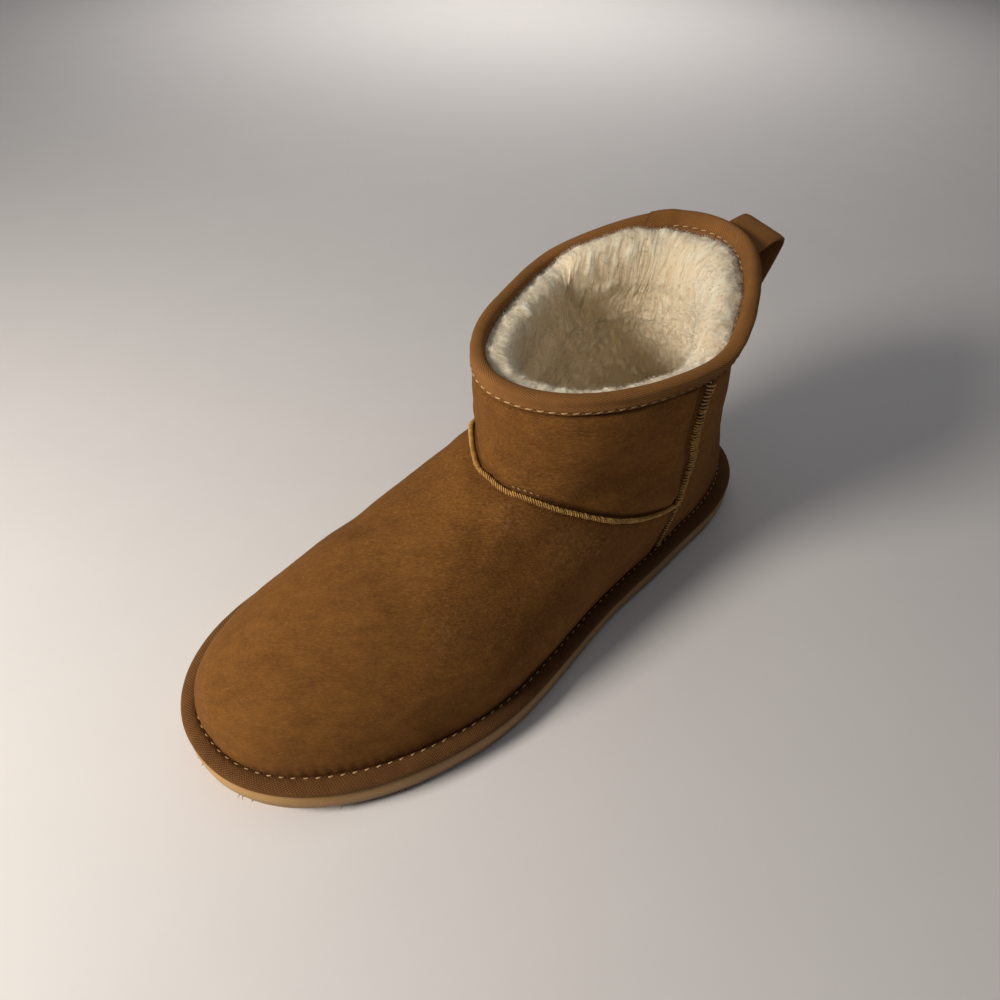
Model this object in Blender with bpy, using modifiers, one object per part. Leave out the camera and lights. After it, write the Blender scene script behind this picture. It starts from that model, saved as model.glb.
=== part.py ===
"""Ankle-high sheepskin slipper boot for the left foot, as the pieces a maker puts together.

Work axes: X runs from the heel's back edge to the toe, Y towards the outer (lateral) side of
the foot, Z up from the floor. Sizes are in millimetres and become metres when a mesh is made.
The upper, its binding, the welt tape, the insole and the seams all come from one function,
skin(), which gives a point on the upper at a place around the foot, a rise from the sole
and a depth into the wall.
"""

import math

import bmesh
import bpy
from mathutils import Vector

MM = 0.001

# Driving dimensions.
SOLE_LENGTH = 278.8
SOLE_THICK = 9.0
TOE_SPRING = 8.0
SPRING_START = 0.72      # share of the length where the toe starts to lift
ARCH_LIFT = 1.8
ARCH_FROM = 92.0
ARCH_TO = 150.0
EDGE_ROUND = 1.2         # rounding of the outsole's lower edge
WALL = 10.5              # suede and fleece together
FLEECE_SWELL = 12.5      # wall where the fleece swells below the collar
RIM_WALL = 3.0           # wall pressed together inside the binding
INSOLE_ROUND = 1.5       # soft upper edge of the insole
TAPE_THICK = 3.2
TAPE_TOP_RISE = 0.03     # where the tape's upper edge meets the suede
BINDING_THICK = 1.3
BINDING_PROUD = 0.4      # how far the binding stands out of the suede
SEAM_RADIUS = 1.25
SEAM_CLEAR = 0.5         # from the seam's roll to the suede, so that it clears the hollow curves
STRAP_WIDTH = 19.0
STRAP_THICK = 1.6
STRAP_Y = 4.0
STRAP_TILT = -0.19       # drop of the pull loop per millimetre towards the outer side
SHAFT_X = 84.0           # middle of the shaft
COLLAR_TWIST = 0.065     # sideways turn of the collar about the shaft's middle, outwards in front
INNER_LIFT = 1.1         # how much higher the rim stands on the inner side than on the outer
GAP = 0.3                # clearance between neighbouring pieces
AROUND = 72              # divisions around the foot

# Rises, as a share of the way from the sole to the collar's rim.
BINDING_FOOT = 0.970     # lower edge of the binding outside
BINDING_INSIDE = 0.950   # lower edge of the binding inside
UPPER_TOP = 0.990

# Half widths and lengths of the sole's outline.
SOLE = {
    "back_x": 0.0, "front_x": SOLE_LENGTH, "heel": 37.5, "waist_out": 44.0, "waist_in": 38.0,
    "ball_out": 57.0, "ball_in": 55.0, "mid_y": 0.0, "toe_in": 3.6,
    "heel_cap_out": 0.187, "heel_cap_in": 0.187, "toe_cap_out": 0.41, "toe_cap_in": 0.24,
    "toe_power_out": 2.4, "toe_power_in": 1.95, "twist": 0.0,
}

# Sections of the upper from the feather edge to the rim: where each one's back and front lie,
# how high its back, sides and front are, and its half widths at heel, waist and ball.
SECTION_COLUMNS = ("rise", "back_x", "front_x", "back_z", "side_z", "front_z",
                   "heel", "waist_out", "waist_in", "ball_out", "ball_in", "mid_y")
SECTIONS = (
    (0.00, 6.0, 272.8, 9.3, 9.3, 9.3, 31.5, 38.0, 32.0, 51.0, 49.0, 0.0),
    (0.10, 6.0, 273.3, 22.0, 20.0, 20.0, 32.5, 40.0, 33.5, 51.5, 50.5, 0.0),
    (0.22, 10.0, 268.5, 34.0, 31.0, 33.5, 34.5, 41.0, 35.0, 50.0, 43.0, 0.0),
    (0.34, 15.5, 250.3, 46.0, 42.0, 45.0, 37.0, 41.0, 36.0, 45.0, 37.8, -0.5),
    (0.46, 20.5, 226.4, 58.0, 52.0, 54.8, 40.0, 41.0, 37.5, 38.5, 32.5, -1.0),
    (0.57, 24.5, 198.7, 70.0, 61.0, 62.3, 42.0, 42.0, 40.0, 36.0, 30.7, -1.5),
    (0.67, 27.0, 170.4, 81.0, 70.0, 69.4, 43.0, 43.0, 42.0, 36.5, 30.2, -2.0),
    (0.76, 28.5, 155.0, 91.0, 79.0, 77.0, 43.0, 44.5, 45.0, 41.0, 33.7, -2.2),
    (0.84, 29.5, 151.4, 101.0, 89.0, 86.0, 42.5, 45.5, 47.0, 44.5, 41.4, -2.2),
    (0.92, 28.0, 152.7, 113.5, 100.5, 98.8, 41.4, 46.5, 48.5, 45.8, 42.5, -2.2),
    (1.00, 18.4, 153.0, 126.7, 112.2, 113.3, 43.6, 48.0, 50.0, 46.8, 44.3, -2.2),
)

# Rounded ends of the upper's sections: share of the length at the foot, and gain per rise.
HEEL_CAP_OUT = (0.19, 0.305)
HEEL_CAP_IN = (0.19, 0.295)
TOE_CAP_OUT = (0.41, 0.25)
TOE_CAP_IN = (0.25, 0.325)
TOE_CAP_RISE = 0.6       # the outer toe stops gaining here
TOE_POWER_OUT = (2.0, 0.4)
TOE_POWER_RISE = 0.3     # the outer toe is squarer below this rise
TOE_POWER_IN = 1.93
TOE_IN = 3.6             # how far the toe turns inwards at the foot
TOE_IN_RISE = 0.8        # the turn has faded out at this rise
TOE_IN_FROM = 0.55       # share of the length where it starts
TWIST_FROM = 0.45        # rise where the collar's twist starts
TWIST_OVER = 0.45
WAIST_FROM = 0.10        # shares of the length where heel passes to waist and waist to ball
WAIST_OVER = 0.32
BALL_FROM = 0.36
BALL_OVER = 0.36
LIFT_FROM = 0.8          # rise where the rim's inner side starts to lift
SPRING_TOP = 60.0        # the upper follows the toe spring up to this height
SPRING_FADE = 50.0
LEVEL_RISE = 0.12        # the wall's normal turns level below this rise

# The upper's wall as a closed section: rise from the sole and depth in from the suede's face.
OUTER_RISES = (0.0, 0.04, 0.10, 0.16, 0.22, 0.28, 0.34, 0.40, 0.46, 0.52, 0.57, 0.62,
               0.67, 0.715, 0.76, 0.80, 0.84, 0.88, 0.92, 0.960)
INNER_WALL = (
    (0.945, RIM_WALL), (0.935, 6.5), (0.912, 10.5), (0.87, FLEECE_SWELL), (0.80, FLEECE_SWELL),
    (0.74, 12.0), (0.67, 11.5), (0.60, 11.0), (0.52, WALL), (0.44, WALL), (0.36, WALL),
    (0.28, WALL), (0.20, WALL), (0.13, WALL), (0.07, WALL), (0.035, WALL), (0.0, WALL),
)
# The welt tape's outer face: share of the way from the upper to the sole's edge, and height.
WELT_SECTION = ((0.96, 0.0), (1.04, 0.9), (0.98, 2.1), (0.80, TAPE_THICK - 0.3))
WELT_LEVEL = 0.9         # beyond this share the tape lies level on the sole's edge

INSOLE_EDGE = (0.0, 0.035, 0.07)   # rises where the insole's edge meets the wall

# The pull loop's free stretch between its two sewn ends, along its middle line: x and z.
STRAP_FREE = (
    (16.5, 124.7), (12.2, 125.3), (7.6, 125.5), (4.2, 124.8), (3.0, 123.1), (3.6, 120.5),
    (7.4, 114.0), (12.6, 106.3), (18.5, 99.8),
)

GROOVES = (22.0, 36.0, 50.0, 64.0, 78.0, 154.0, 166.0, 178.0, 190.0)
GROOVE_WIDTH = 4.0
GROOVE_DEPTH = 2.0
GROOVE_MARGIN = 9.0      # solid border left between a groove's end and the sole's edge

SEAM_X = 79.0            # the side seams stand here, between front and back panels,
SEAM_FOOT = 5.0          # run this far forward down to the sole,
SEAM_FOOT_RISE = 0.3     # below this rise,
SEAM_LEAN = 9.5          # and lean this far forward up to the collar
SEAM_LEAN_FROM = 0.5
SEAM_LEAN_OVER = 0.45
SEAM_FROM = 0.05         # rise of their lower end
SEAM_HEADROOM = 0.012    # from their upper end to the binding, as a rise
VAMP_SEAM_LOW = 38.0     # height of the vamp seam where it meets a side seam
VAMP_SEAM_HIGH = 76.0    # and over the instep
VAMP_SEAM_FRONT = 157.0
VAMP_SEAM_BEND = 1.3
VAMP_SEAM_LIFT = 8.0     # how much higher it runs on the inner side of the instep,
VAMP_LIFT_Y = 2.0        # from this Y inwards,
VAMP_LIFT_OVER = 22.0    # eased in over this width
VAMP_LIFT_ALONG = 40.0   # and this length

MATERIALS = {
    "suede": ((0.24, 0.105, 0.035), 0.92),
    "fleece": ((0.62, 0.52, 0.38), 1.0),
    "twill": ((0.23, 0.11, 0.037), 0.88),
    "gum_rubber": ((0.42, 0.25, 0.10), 0.6),
    "thread": ((0.45, 0.26, 0.08), 0.7),
}


def smooth(value):
    """Ease from 0 to 1."""
    value = min(max(value, 0.0), 1.0)
    return value * value * (3.0 - 2.0 * value)


def section_at(rise):
    """The upper's section at a rise: a smooth curve through the rows of the table."""
    rises = [row[0] for row in SECTIONS]
    last = len(SECTIONS) - 1
    rise = min(max(rise, 0.0), 1.0)
    low = max(k for k in range(last) if rises[k] <= rise or k == 0)
    span = rises[low + 1] - rises[low]
    f = (rise - rises[low]) / span
    section = {}
    for column, name in enumerate(SECTION_COLUMNS[1:], start=1):
        values = [row[column] for row in SECTIONS]

        def slope(k):
            before, after = max(k - 1, 0), min(k + 1, last)
            return (values[after] - values[before]) / (rises[after] - rises[before])

        section[name] = (
            (2 * f**3 - 3 * f**2 + 1) * values[low] + (f**3 - 2 * f**2 + f) * span * slope(low)
            + (3 * f**2 - 2 * f**3) * values[low + 1] + (f**3 - f**2) * span * slope(low + 1)
        )
    squarer = smooth(1.0 - rise / TOE_POWER_RISE)
    section["heel_cap_out"] = HEEL_CAP_OUT[0] + HEEL_CAP_OUT[1] * rise
    section["heel_cap_in"] = HEEL_CAP_IN[0] + HEEL_CAP_IN[1] * rise
    section["toe_cap_out"] = TOE_CAP_OUT[0] + TOE_CAP_OUT[1] * min(rise, TOE_CAP_RISE)
    section["toe_cap_in"] = TOE_CAP_IN[0] + TOE_CAP_IN[1] * rise
    section["toe_power_out"] = TOE_POWER_OUT[0] + TOE_POWER_OUT[1] * squarer
    section["toe_power_in"] = TOE_POWER_IN
    section["twist"] = COLLAR_TWIST * smooth((rise - TWIST_FROM) / TWIST_OVER)
    section["toe_in"] = TOE_IN * smooth(1.0 - rise / TOE_IN_RISE)
    return section


def half_width(s, section, side):
    """Half width of a section at share s of its length, from the heel's back to the toe."""
    heel, waist, ball = section["heel"], section["waist_" + side], section["ball_" + side]
    width = heel + (waist - heel) * smooth((s - WAIST_FROM) / WAIST_OVER)
    width += (ball - waist) * smooth((s - BALL_FROM) / BALL_OVER)
    heel_cap, toe_cap = section["heel_cap_" + side], section["toe_cap_" + side]
    power = section["toe_power_" + side]
    behind = min(max((heel_cap - s) / heel_cap, 0.0), 1.0)
    ahead = min(max((s - 1.0 + toe_cap) / toe_cap, 0.0), 1.0)
    return width * (1.0 - behind**2) ** 0.5 * (1.0 - ahead**power) ** (1.0 / power)


def outline(section, around):
    """Plan point of a section. around: 0 toe, 0.25 outer side, 0.5 heel, 0.75 inner side."""
    around %= 1.0
    s = (1.0 + math.cos(2.0 * math.pi * around)) / 2.0
    x = section["back_x"] + (section["front_x"] - section["back_x"]) * s
    turn = max((s - TOE_IN_FROM) / (1.0 - TOE_IN_FROM), 0.0)
    middle = section["mid_y"] - section["toe_in"] * turn**2
    middle += section["twist"] * (x - SHAFT_X)
    if around < 0.5:
        return x, middle + half_width(s, section, "out"), s
    return x, middle - half_width(s, section, "in"), s


def spring(x):
    """Lift of the sole under the toe."""
    ahead = max((x / SOLE_LENGTH - SPRING_START) / (1.0 - SPRING_START), 0.0)
    return TOE_SPRING * ahead**2


def suede_face(around, rise):
    """Point on the upper's outer face."""
    section = section_at(rise)
    x, y, s = outline(section, around)
    side_z = section["side_z"]
    if around % 1.0 > 0.5:
        side_z += INNER_LIFT * smooth((rise - LIFT_FROM) / (1.0 - LIFT_FROM))
    if s < 0.5:
        z = section["back_z"] + (side_z - section["back_z"]) * smooth(2.0 * s)
    else:
        z = side_z + (section["front_z"] - side_z) * smooth(2.0 * s - 1.0)
    follow = min(max((SPRING_TOP - z) / SPRING_FADE, 0.0), 1.0)
    return Vector((x, y, z + spring(x) * follow))


def outward(around, rise):
    """Unit normal of the upper's outer face, level at the feather edge."""
    step = 0.002
    along = suede_face(around + step, rise) - suede_face(around - step, rise)
    up = suede_face(around, rise + step) - suede_face(around, rise - step)
    normal = along.cross(up)
    normal.z *= smooth(rise / LEVEL_RISE)
    return normal.normalized()


def skin(around, rise, depth):
    """Point in the upper's wall, depth in from the suede's face; minus is outside it."""
    point = suede_face(around, rise) - outward(around, rise) * depth
    if rise == 0.0:
        point.z = SOLE_THICK + GAP + spring(point.x)
    return point


def sole_edge(around, inset):
    """Plan point of the sole's outline moved inwards."""
    step = 0.002
    x, y, _ = outline(SOLE, around)
    x_next, y_next, _ = outline(SOLE, around + step)
    x_last, y_last, _ = outline(SOLE, around - step)
    across = Vector((x_next - x_last, y_next - y_last)).normalized()
    return Vector((x - across.y * inset, y + across.x * inset))


def stations():
    """Places around the foot."""
    return [k / AROUND for k in range(AROUND)]


def foot_centre():
    """Plan centre of the outsole, where the object's origin goes."""
    sides = [outline(SOLE, around)[1] for around in stations()]
    return Vector((SOLE_LENGTH / 2.0, (max(sides) + min(sides)) / 2.0, 0.0))


def make_material(name):
    colour, roughness = MATERIALS[name]
    material = bpy.data.materials.new(name)
    material.use_nodes = True
    shader = material.node_tree.nodes["Principled BSDF"]
    shader.inputs["Base Color"].default_value = (*colour, 1.0)
    shader.inputs["Roughness"].default_value = roughness
    shader.inputs["Metallic"].default_value = 0.0
    return material


def place(name, data, material, collection, frame):
    """Put mesh or curve data in the scene as a named part of the boot."""
    part = bpy.data.objects.new(name, data)
    data.materials.append(material)
    part.parent = frame
    collection.objects.link(part)
    return part


def mesh_from(name, points, faces, sharp_angle=40.0):
    """Mesh in metres from points in millimetres, with its faces turned out."""
    mesh = bpy.data.meshes.new(name)
    mesh.from_pydata([point * MM for point in points], [], faces)
    shape = bmesh.new()
    shape.from_mesh(mesh)
    bmesh.ops.recalc_face_normals(shape, faces=shape.faces)
    shape.to_mesh(mesh)
    shape.free()
    mesh.shade_smooth()
    mesh.set_sharp_from_angle(angle=math.radians(sharp_angle))
    return mesh


def closed_loft(rings):
    """Points and faces of a ring-shaped solid: a closed section carried round the foot."""
    points = [point for ring in rings for point in ring]
    faces = []
    for i in range(len(rings)):
        for j in range(AROUND):
            following = (i + 1) % len(rings)
            right = (j + 1) % AROUND
            faces.append((i * AROUND + j, i * AROUND + right,
                          following * AROUND + right, following * AROUND + j))
    return points, faces


def slab(rings, across=1, dish=0.0):
    """Points and faces of a slab: rings stacked from its lower to its upper face.

    Each cap is made of strips that run across the foot between points that face each other,
    with inner points that sink by dish at the middle of the upper face.
    """
    points = [point for ring in rings for point in ring]
    faces = []
    for i in range(len(rings) - 1):
        for j in range(AROUND):
            right = (j + 1) % AROUND
            faces.append((i * AROUND + j, i * AROUND + right,
                          (i + 1) * AROUND + right, (i + 1) * AROUND + j))
    half = AROUND // 2
    for ring, sink in ((0, 0.0), (len(rings) - 1, dish)):
        rows = []
        for j in range(half + 1):
            first = ring * AROUND + j
            last = ring * AROUND + (AROUND - j) % AROUND
            if first == last:
                rows.append([first])
                continue
            row = [first]
            for k in range(1, across):
                share = k / across
                point = points[first].lerp(points[last], share)
                point.z -= sink * math.sin(math.pi * share) * math.sin(math.pi * j / half)
                points.append(point)
                row.append(len(points) - 1)
            rows.append(row + [last])
        for row, following in zip(rows, rows[1:]):
            for k in range(across):
                corners = (row[min(k, len(row) - 1)], row[min(k + 1, len(row) - 1)],
                           following[min(k + 1, len(following) - 1)],
                           following[min(k, len(following) - 1)])
                faces.append(tuple(dict.fromkeys(corners)))
    return points, faces


def sole_underside(x):
    """Height of the outsole's lower face: flat at heel and forefoot, raised under the arch."""
    arch = max(0.0, math.sin(math.pi * (x - ARCH_FROM) / (ARCH_TO - ARCH_FROM)))
    inside = ARCH_FROM < x < ARCH_TO
    return spring(x) + (ARCH_LIFT * arch**2 if inside else 0.0)


def make_outsole(collection, tools, frame):
    """Gum outsole with toe spring, a low arch and tread grooves at heel and forefoot."""
    rings = []
    for inset, lift in ((EDGE_ROUND, 0.0), (0.0, EDGE_ROUND)):
        ring = [sole_edge(around, inset) for around in stations()]
        rings.append([Vector((p.x, p.y, sole_underside(p.x) + lift)) for p in ring])
    ring = [sole_edge(around, 0.0) for around in stations()]
    rings.append([Vector((p.x, p.y, SOLE_THICK + spring(p.x))) for p in ring])
    mesh = mesh_from("outsole", *slab(rings))
    outsole = place("outsole", mesh, make_material("gum_rubber"), collection, frame)

    cutters = bmesh.new()
    for middle in GROOVES:
        s = middle / SOLE_LENGTH
        outer = half_width(s, SOLE, "out") - GROOVE_MARGIN
        inner = half_width(s, SOLE, "in") - GROOVE_MARGIN
        box = bmesh.ops.create_cube(cutters, size=1.0)
        size = Vector((GROOVE_WIDTH, outer + inner, 2.0 * GROOVE_DEPTH)) * MM
        bmesh.ops.scale(cutters, vec=size, verts=box["verts"])
        shift = Vector((middle, (outer - inner) / 2.0, 0.0)) * MM
        bmesh.ops.translate(cutters, vec=shift, verts=box["verts"])
    mesh = bpy.data.meshes.new("tread_cutters")
    cutters.to_mesh(mesh)
    cutters.free()
    cutter = bpy.data.objects.new("tread_cutters", mesh)
    cutter.parent = frame
    cutter.hide_render = True
    cutter.display_type = "WIRE"
    tools.objects.link(cutter)
    cut = outsole.modifiers.new("tread", "BOOLEAN")
    cut.operation = "DIFFERENCE"
    cut.solver = "EXACT"
    cut.object = cutter


def make_welt_tape(collection, frame):
    """Twill-covered welt that lies on the outsole's rim, round the foot of the upper."""
    rings = [[], [], [], [], [], []]
    for around in stations():
        foot = skin(around, 0.0, -GAP)
        top = skin(around, TAPE_TOP_RISE, -GAP)
        edge = sole_edge(around, 0.0)
        floor = SOLE_THICK + GAP + spring(edge.x)
        for ring, (share, height) in zip(rings[1:5], WELT_SECTION):
            plan = foot.xy.lerp(edge, share)
            base = floor
            if share < WELT_LEVEL:
                base = foot.z + (floor - foot.z) * share
            ring.append(Vector((plan.x, plan.y, base + height)))
        rings[0].append(foot)
        rings[5].append(Vector((top.x, top.y, foot.z + TAPE_THICK)))
    mesh = mesh_from("welt_tape", *closed_loft(rings))
    place("welt_tape", mesh, make_material("twill"), collection, frame)


def make_upper(collection, frame):
    """One hollow sheepskin wall, open at the collar and underneath."""
    pressed = BINDING_THICK - BINDING_PROUD + GAP
    wall = [(rise, 0.0) for rise in OUTER_RISES]
    wall += [(0.965, pressed), (0.977, pressed), (UPPER_TOP, pressed), (UPPER_TOP, RIM_WALL)]
    wall += INNER_WALL
    rings = [[skin(around, rise, depth) for around in stations()] for rise, depth in wall]
    mesh = mesh_from("upper", *closed_loft(rings))
    place("upper", mesh, make_material("suede"), collection, frame)


def make_insole(collection, frame):
    """Fleece-topped insole that fills the foot of the upper."""
    rings = [[skin(around, rise, WALL + GAP) for around in stations()] for rise in INSOLE_EDGE]
    crown = [skin(around, INSOLE_EDGE[-1], WALL + GAP + INSOLE_ROUND) for around in stations()]
    rings.append([point + Vector((0.0, 0.0, INSOLE_ROUND / 2.0)) for point in crown])
    mesh = mesh_from("insole", *slab(rings, across=4, dish=1.5))
    place("insole", mesh, make_material("fleece"), collection, frame)


def make_binding(collection, frame):
    """Twill tape folded over the rim, down the outside and the inside."""
    out = -BINDING_PROUD
    under = BINDING_THICK - BINDING_PROUD
    lined = RIM_WALL + GAP
    inside = lined + BINDING_THICK
    fold = (
        (BINDING_FOOT, out), (0.980, out), (0.990, out), (0.998, out + 0.5),
        (1.0, under), (1.0, lined), (0.998, inside - 0.5), (0.988, inside), (0.970, inside),
        (BINDING_INSIDE, inside), (BINDING_INSIDE, lined), (0.970, lined), (0.992, lined),
        (0.992, under), (0.980, under), (BINDING_FOOT, under),
    )
    rings = [[skin(around, rise, depth) for around in stations()] for rise, depth in fold]
    mesh = mesh_from("collar_binding", *closed_loft(rings))
    place("collar_binding", mesh, make_material("twill"), collection, frame)


def back_place(y, rise):
    """Place around the back of the shaft where the upper has a given y."""
    low, high = 0.30, 0.70
    for _ in range(40):
        middle = (low + high) / 2.0
        if suede_face(middle, rise).y > y:
            low = middle
        else:
            high = middle
    return low


def make_pull_loop(collection, frame):
    """Twill strap sewn at the collar's back and again lower on the shaft, open between."""
    on_binding = -(BINDING_PROUD + GAP + STRAP_THICK / 2.0)
    on_shaft = -(GAP + STRAP_THICK / 2.0)
    sewn_top = ((0.971, on_binding), (0.982, on_binding - 0.2))
    sewn_low = ((0.795, on_shaft - 0.2), (0.775, on_shaft), (0.755, on_shaft))
    across = 4
    points = []
    rows = 0
    offsets = [STRAP_WIDTH * (k / across - 0.5) for k in range(across + 1)]
    for rise, depth in sewn_top:
        for offset in offsets:
            points.append(skin(back_place(STRAP_Y + offset, rise), rise, depth))
        rows += 1
    for x, z in STRAP_FREE:
        for offset in offsets:
            points.append(Vector((x, STRAP_Y + offset, z + STRAP_TILT * offset)))
        rows += 1
    for rise, depth in sewn_low:
        for offset in offsets:
            points.append(skin(back_place(STRAP_Y + offset, rise), rise, depth))
        rows += 1
    faces = []
    for i in range(rows - 1):
        for k in range(across):
            corner = i * (across + 1) + k
            faces.append((corner, corner + 1, corner + across + 2, corner + across + 1))
    mesh = mesh_from("pull_loop", points, faces)
    loop = place("pull_loop", mesh, make_material("twill"), collection, frame)
    thick = loop.modifiers.new("webbing", "SOLIDIFY")
    thick.thickness = STRAP_THICK * MM
    thick.offset = 0.0
    thick.use_even_offset = True


def make_seam(name, path, collection, frame):
    """Rolled seam that stands proud of the suede along a path."""
    curve = bpy.data.curves.new(name, "CURVE")
    curve.dimensions = "3D"
    curve.bevel_depth = SEAM_RADIUS * MM
    curve.bevel_resolution = 1
    curve.use_fill_caps = True
    spline = curve.splines.new("POLY")
    spline.points.add(len(path) - 1)
    for spot, (around, rise) in zip(spline.points, path):
        centre = skin(around, rise, -(SEAM_CLEAR + SEAM_RADIUS)) * MM
        spot.co = (*centre, 1.0)
    place(name, curve, make_material("thread"), collection, frame)


def side_seam_x(rise):
    """Where the side seams stand along the foot, at a rise."""
    lean = SEAM_LEAN * smooth((rise - SEAM_LEAN_FROM) / SEAM_LEAN_OVER)
    return SEAM_X + SEAM_FOOT * smooth(1.0 - rise / SEAM_FOOT_RISE) + lean


def side_place(rise, x, side):
    """Place around the upper where a section passes a given x on the outer or inner side."""
    section = section_at(rise)
    s = (x - section["back_x"]) / (section["front_x"] - section["back_x"])
    around = math.acos(2.0 * s - 1.0) / (2.0 * math.pi)
    return around if side == "outer" else 1.0 - around


def vamp_seam_rise(around):
    """Rise at which the vamp seam passes a place around the foot."""
    low, high = 0.05, 0.90
    for _ in range(40):
        rise = (low + high) / 2.0
        point = suede_face(around, rise)
        ahead = (point.x - SEAM_X) / (VAMP_SEAM_FRONT - SEAM_X)
        ahead = min(max(ahead, 0.0), 1.0) ** VAMP_SEAM_BEND
        height = VAMP_SEAM_LOW + (VAMP_SEAM_HIGH - VAMP_SEAM_LOW) * ahead
        inner = smooth((VAMP_LIFT_Y - point.y) / VAMP_LIFT_OVER)
        inner *= smooth((point.x - SEAM_X) / VAMP_LIFT_ALONG)
        if point.z < height + VAMP_SEAM_LIFT * inner:
            low = rise
        else:
            high = rise
    return low


def make_seams(collection, frame):
    """Side seams from binding to welt, and the vamp seam between them over the instep."""
    foot, head = SEAM_FROM, BINDING_FOOT - SEAM_HEADROOM
    steps = 16
    for side in ("outer", "inner"):
        path = []
        for k in range(steps + 1):
            rise = foot + (head - foot) * k / steps
            path.append((side_place(rise, side_seam_x(rise), side), rise))
        make_seam("side_seam_" + side, path, collection, frame)
    clear = SEAM_X + 2.0 * SEAM_RADIUS + 2.0 * GAP
    start = min(k / 400 for k in range(400)
                if suede_face(k / 400, vamp_seam_rise(k / 400)).x < clear) - 1 / 400
    steps = 48
    places = [start - 2.0 * start * k / steps for k in range(steps + 1)]
    path = [(around, vamp_seam_rise(around)) for around in places]
    make_seam("vamp_seam", path, collection, frame)


def main():
    for old in list(bpy.data.objects):
        bpy.data.objects.remove(old, do_unlink=True)
    boot = bpy.data.collections.new("slipper_boot")
    tools = bpy.data.collections.new("cutters")
    bpy.context.scene.collection.children.link(boot)
    bpy.context.scene.collection.children.link(tools)
    frame = bpy.data.objects.new("boot_frame", None)
    frame.location = -foot_centre() * MM
    boot.objects.link(frame)

    make_outsole(boot, tools, frame)
    make_welt_tape(boot, frame)
    make_upper(boot, frame)
    make_insole(boot, frame)
    make_binding(boot, frame)
    make_pull_loop(boot, frame)
    make_seams(boot, frame)
    bpy.context.view_layer.update()


main()
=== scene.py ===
"""Looks of the ankle-high sheepskin slipper boot for the left foot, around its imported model.

Work axes are the part's own: X from the heel's back edge to the toe, Y towards the outer side
of the foot, Z up from the floor, in millimetres. to_world() turns them into the frame's metres.
A place on the upper is given by around (0 toe, 0.25 outer side, 0.5 heel, 0.75 inner side), by
rise (0 at the sole, 1 at the collar's rim) and by depth in from the suede's face.
"""

import math

import bpy
import numpy as np
from mathutils import Matrix, Vector, noise


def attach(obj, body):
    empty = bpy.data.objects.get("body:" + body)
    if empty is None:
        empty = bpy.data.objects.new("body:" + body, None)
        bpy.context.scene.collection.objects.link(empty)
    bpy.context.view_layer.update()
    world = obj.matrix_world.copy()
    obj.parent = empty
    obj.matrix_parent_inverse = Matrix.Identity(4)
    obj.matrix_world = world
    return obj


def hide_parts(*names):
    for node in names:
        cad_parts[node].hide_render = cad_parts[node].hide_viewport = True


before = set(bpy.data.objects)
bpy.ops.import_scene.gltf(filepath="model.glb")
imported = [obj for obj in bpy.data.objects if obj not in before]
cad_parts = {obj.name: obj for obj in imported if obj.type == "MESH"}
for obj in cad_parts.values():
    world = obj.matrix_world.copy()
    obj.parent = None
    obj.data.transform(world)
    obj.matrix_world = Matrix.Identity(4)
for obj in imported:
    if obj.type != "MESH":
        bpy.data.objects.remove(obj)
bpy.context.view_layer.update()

MM = 0.001
TURN = 2.0 * math.pi

# Driving dimensions, as in the part.
SOLE_LENGTH = 278.8
SOLE_THICK = 9.0
TOE_SPRING = 8.0
SPRING_START = 0.72
ARCH_LIFT = 1.8
ARCH_FROM = 92.0
ARCH_TO = 150.0
GROOVES = (22.0, 36.0, 50.0, 64.0, 78.0, 154.0, 166.0, 178.0, 190.0)
GROOVE_WIDTH = 4.0
GROOVE_DEPTH = 2.0
GROOVE_MARGIN = 9.0
GAP = 0.3
WALL = 10.5
RIM_WALL = 3.0
BINDING_THICK = 1.3
BINDING_PROUD = 0.4
BINDING_FOOT = 0.970
STRAP_WIDTH = 19.0
STRAP_THICK = 1.6
STRAP_Y = 4.0
STRAP_TILT = -0.19
SHAFT_X = 84.0
COLLAR_TWIST = 0.065
INNER_LIFT = 1.1
SEAM_X = 79.0
SEAM_FOOT = 5.0
SEAM_LEAN = 9.5
VAMP_SEAM_LOW = 38.0
VAMP_SEAM_HIGH = 76.0
VAMP_SEAM_FRONT = 157.0
VAMP_SEAM_BEND = 1.3
VAMP_SEAM_LIFT = 8.0

# Half widths and lengths of the sole's outline.
SOLE = {
    "back_x": 0.0, "front_x": SOLE_LENGTH, "heel": 37.5, "waist_out": 44.0, "waist_in": 38.0,
    "ball_out": 57.0, "ball_in": 55.0, "mid_y": 0.0, "toe_in": 3.6,
    "heel_cap_out": 0.187, "heel_cap_in": 0.187, "toe_cap_out": 0.41, "toe_cap_in": 0.24,
    "toe_power_out": 2.4, "toe_power_in": 1.95, "twist": 0.0,
}

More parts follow.
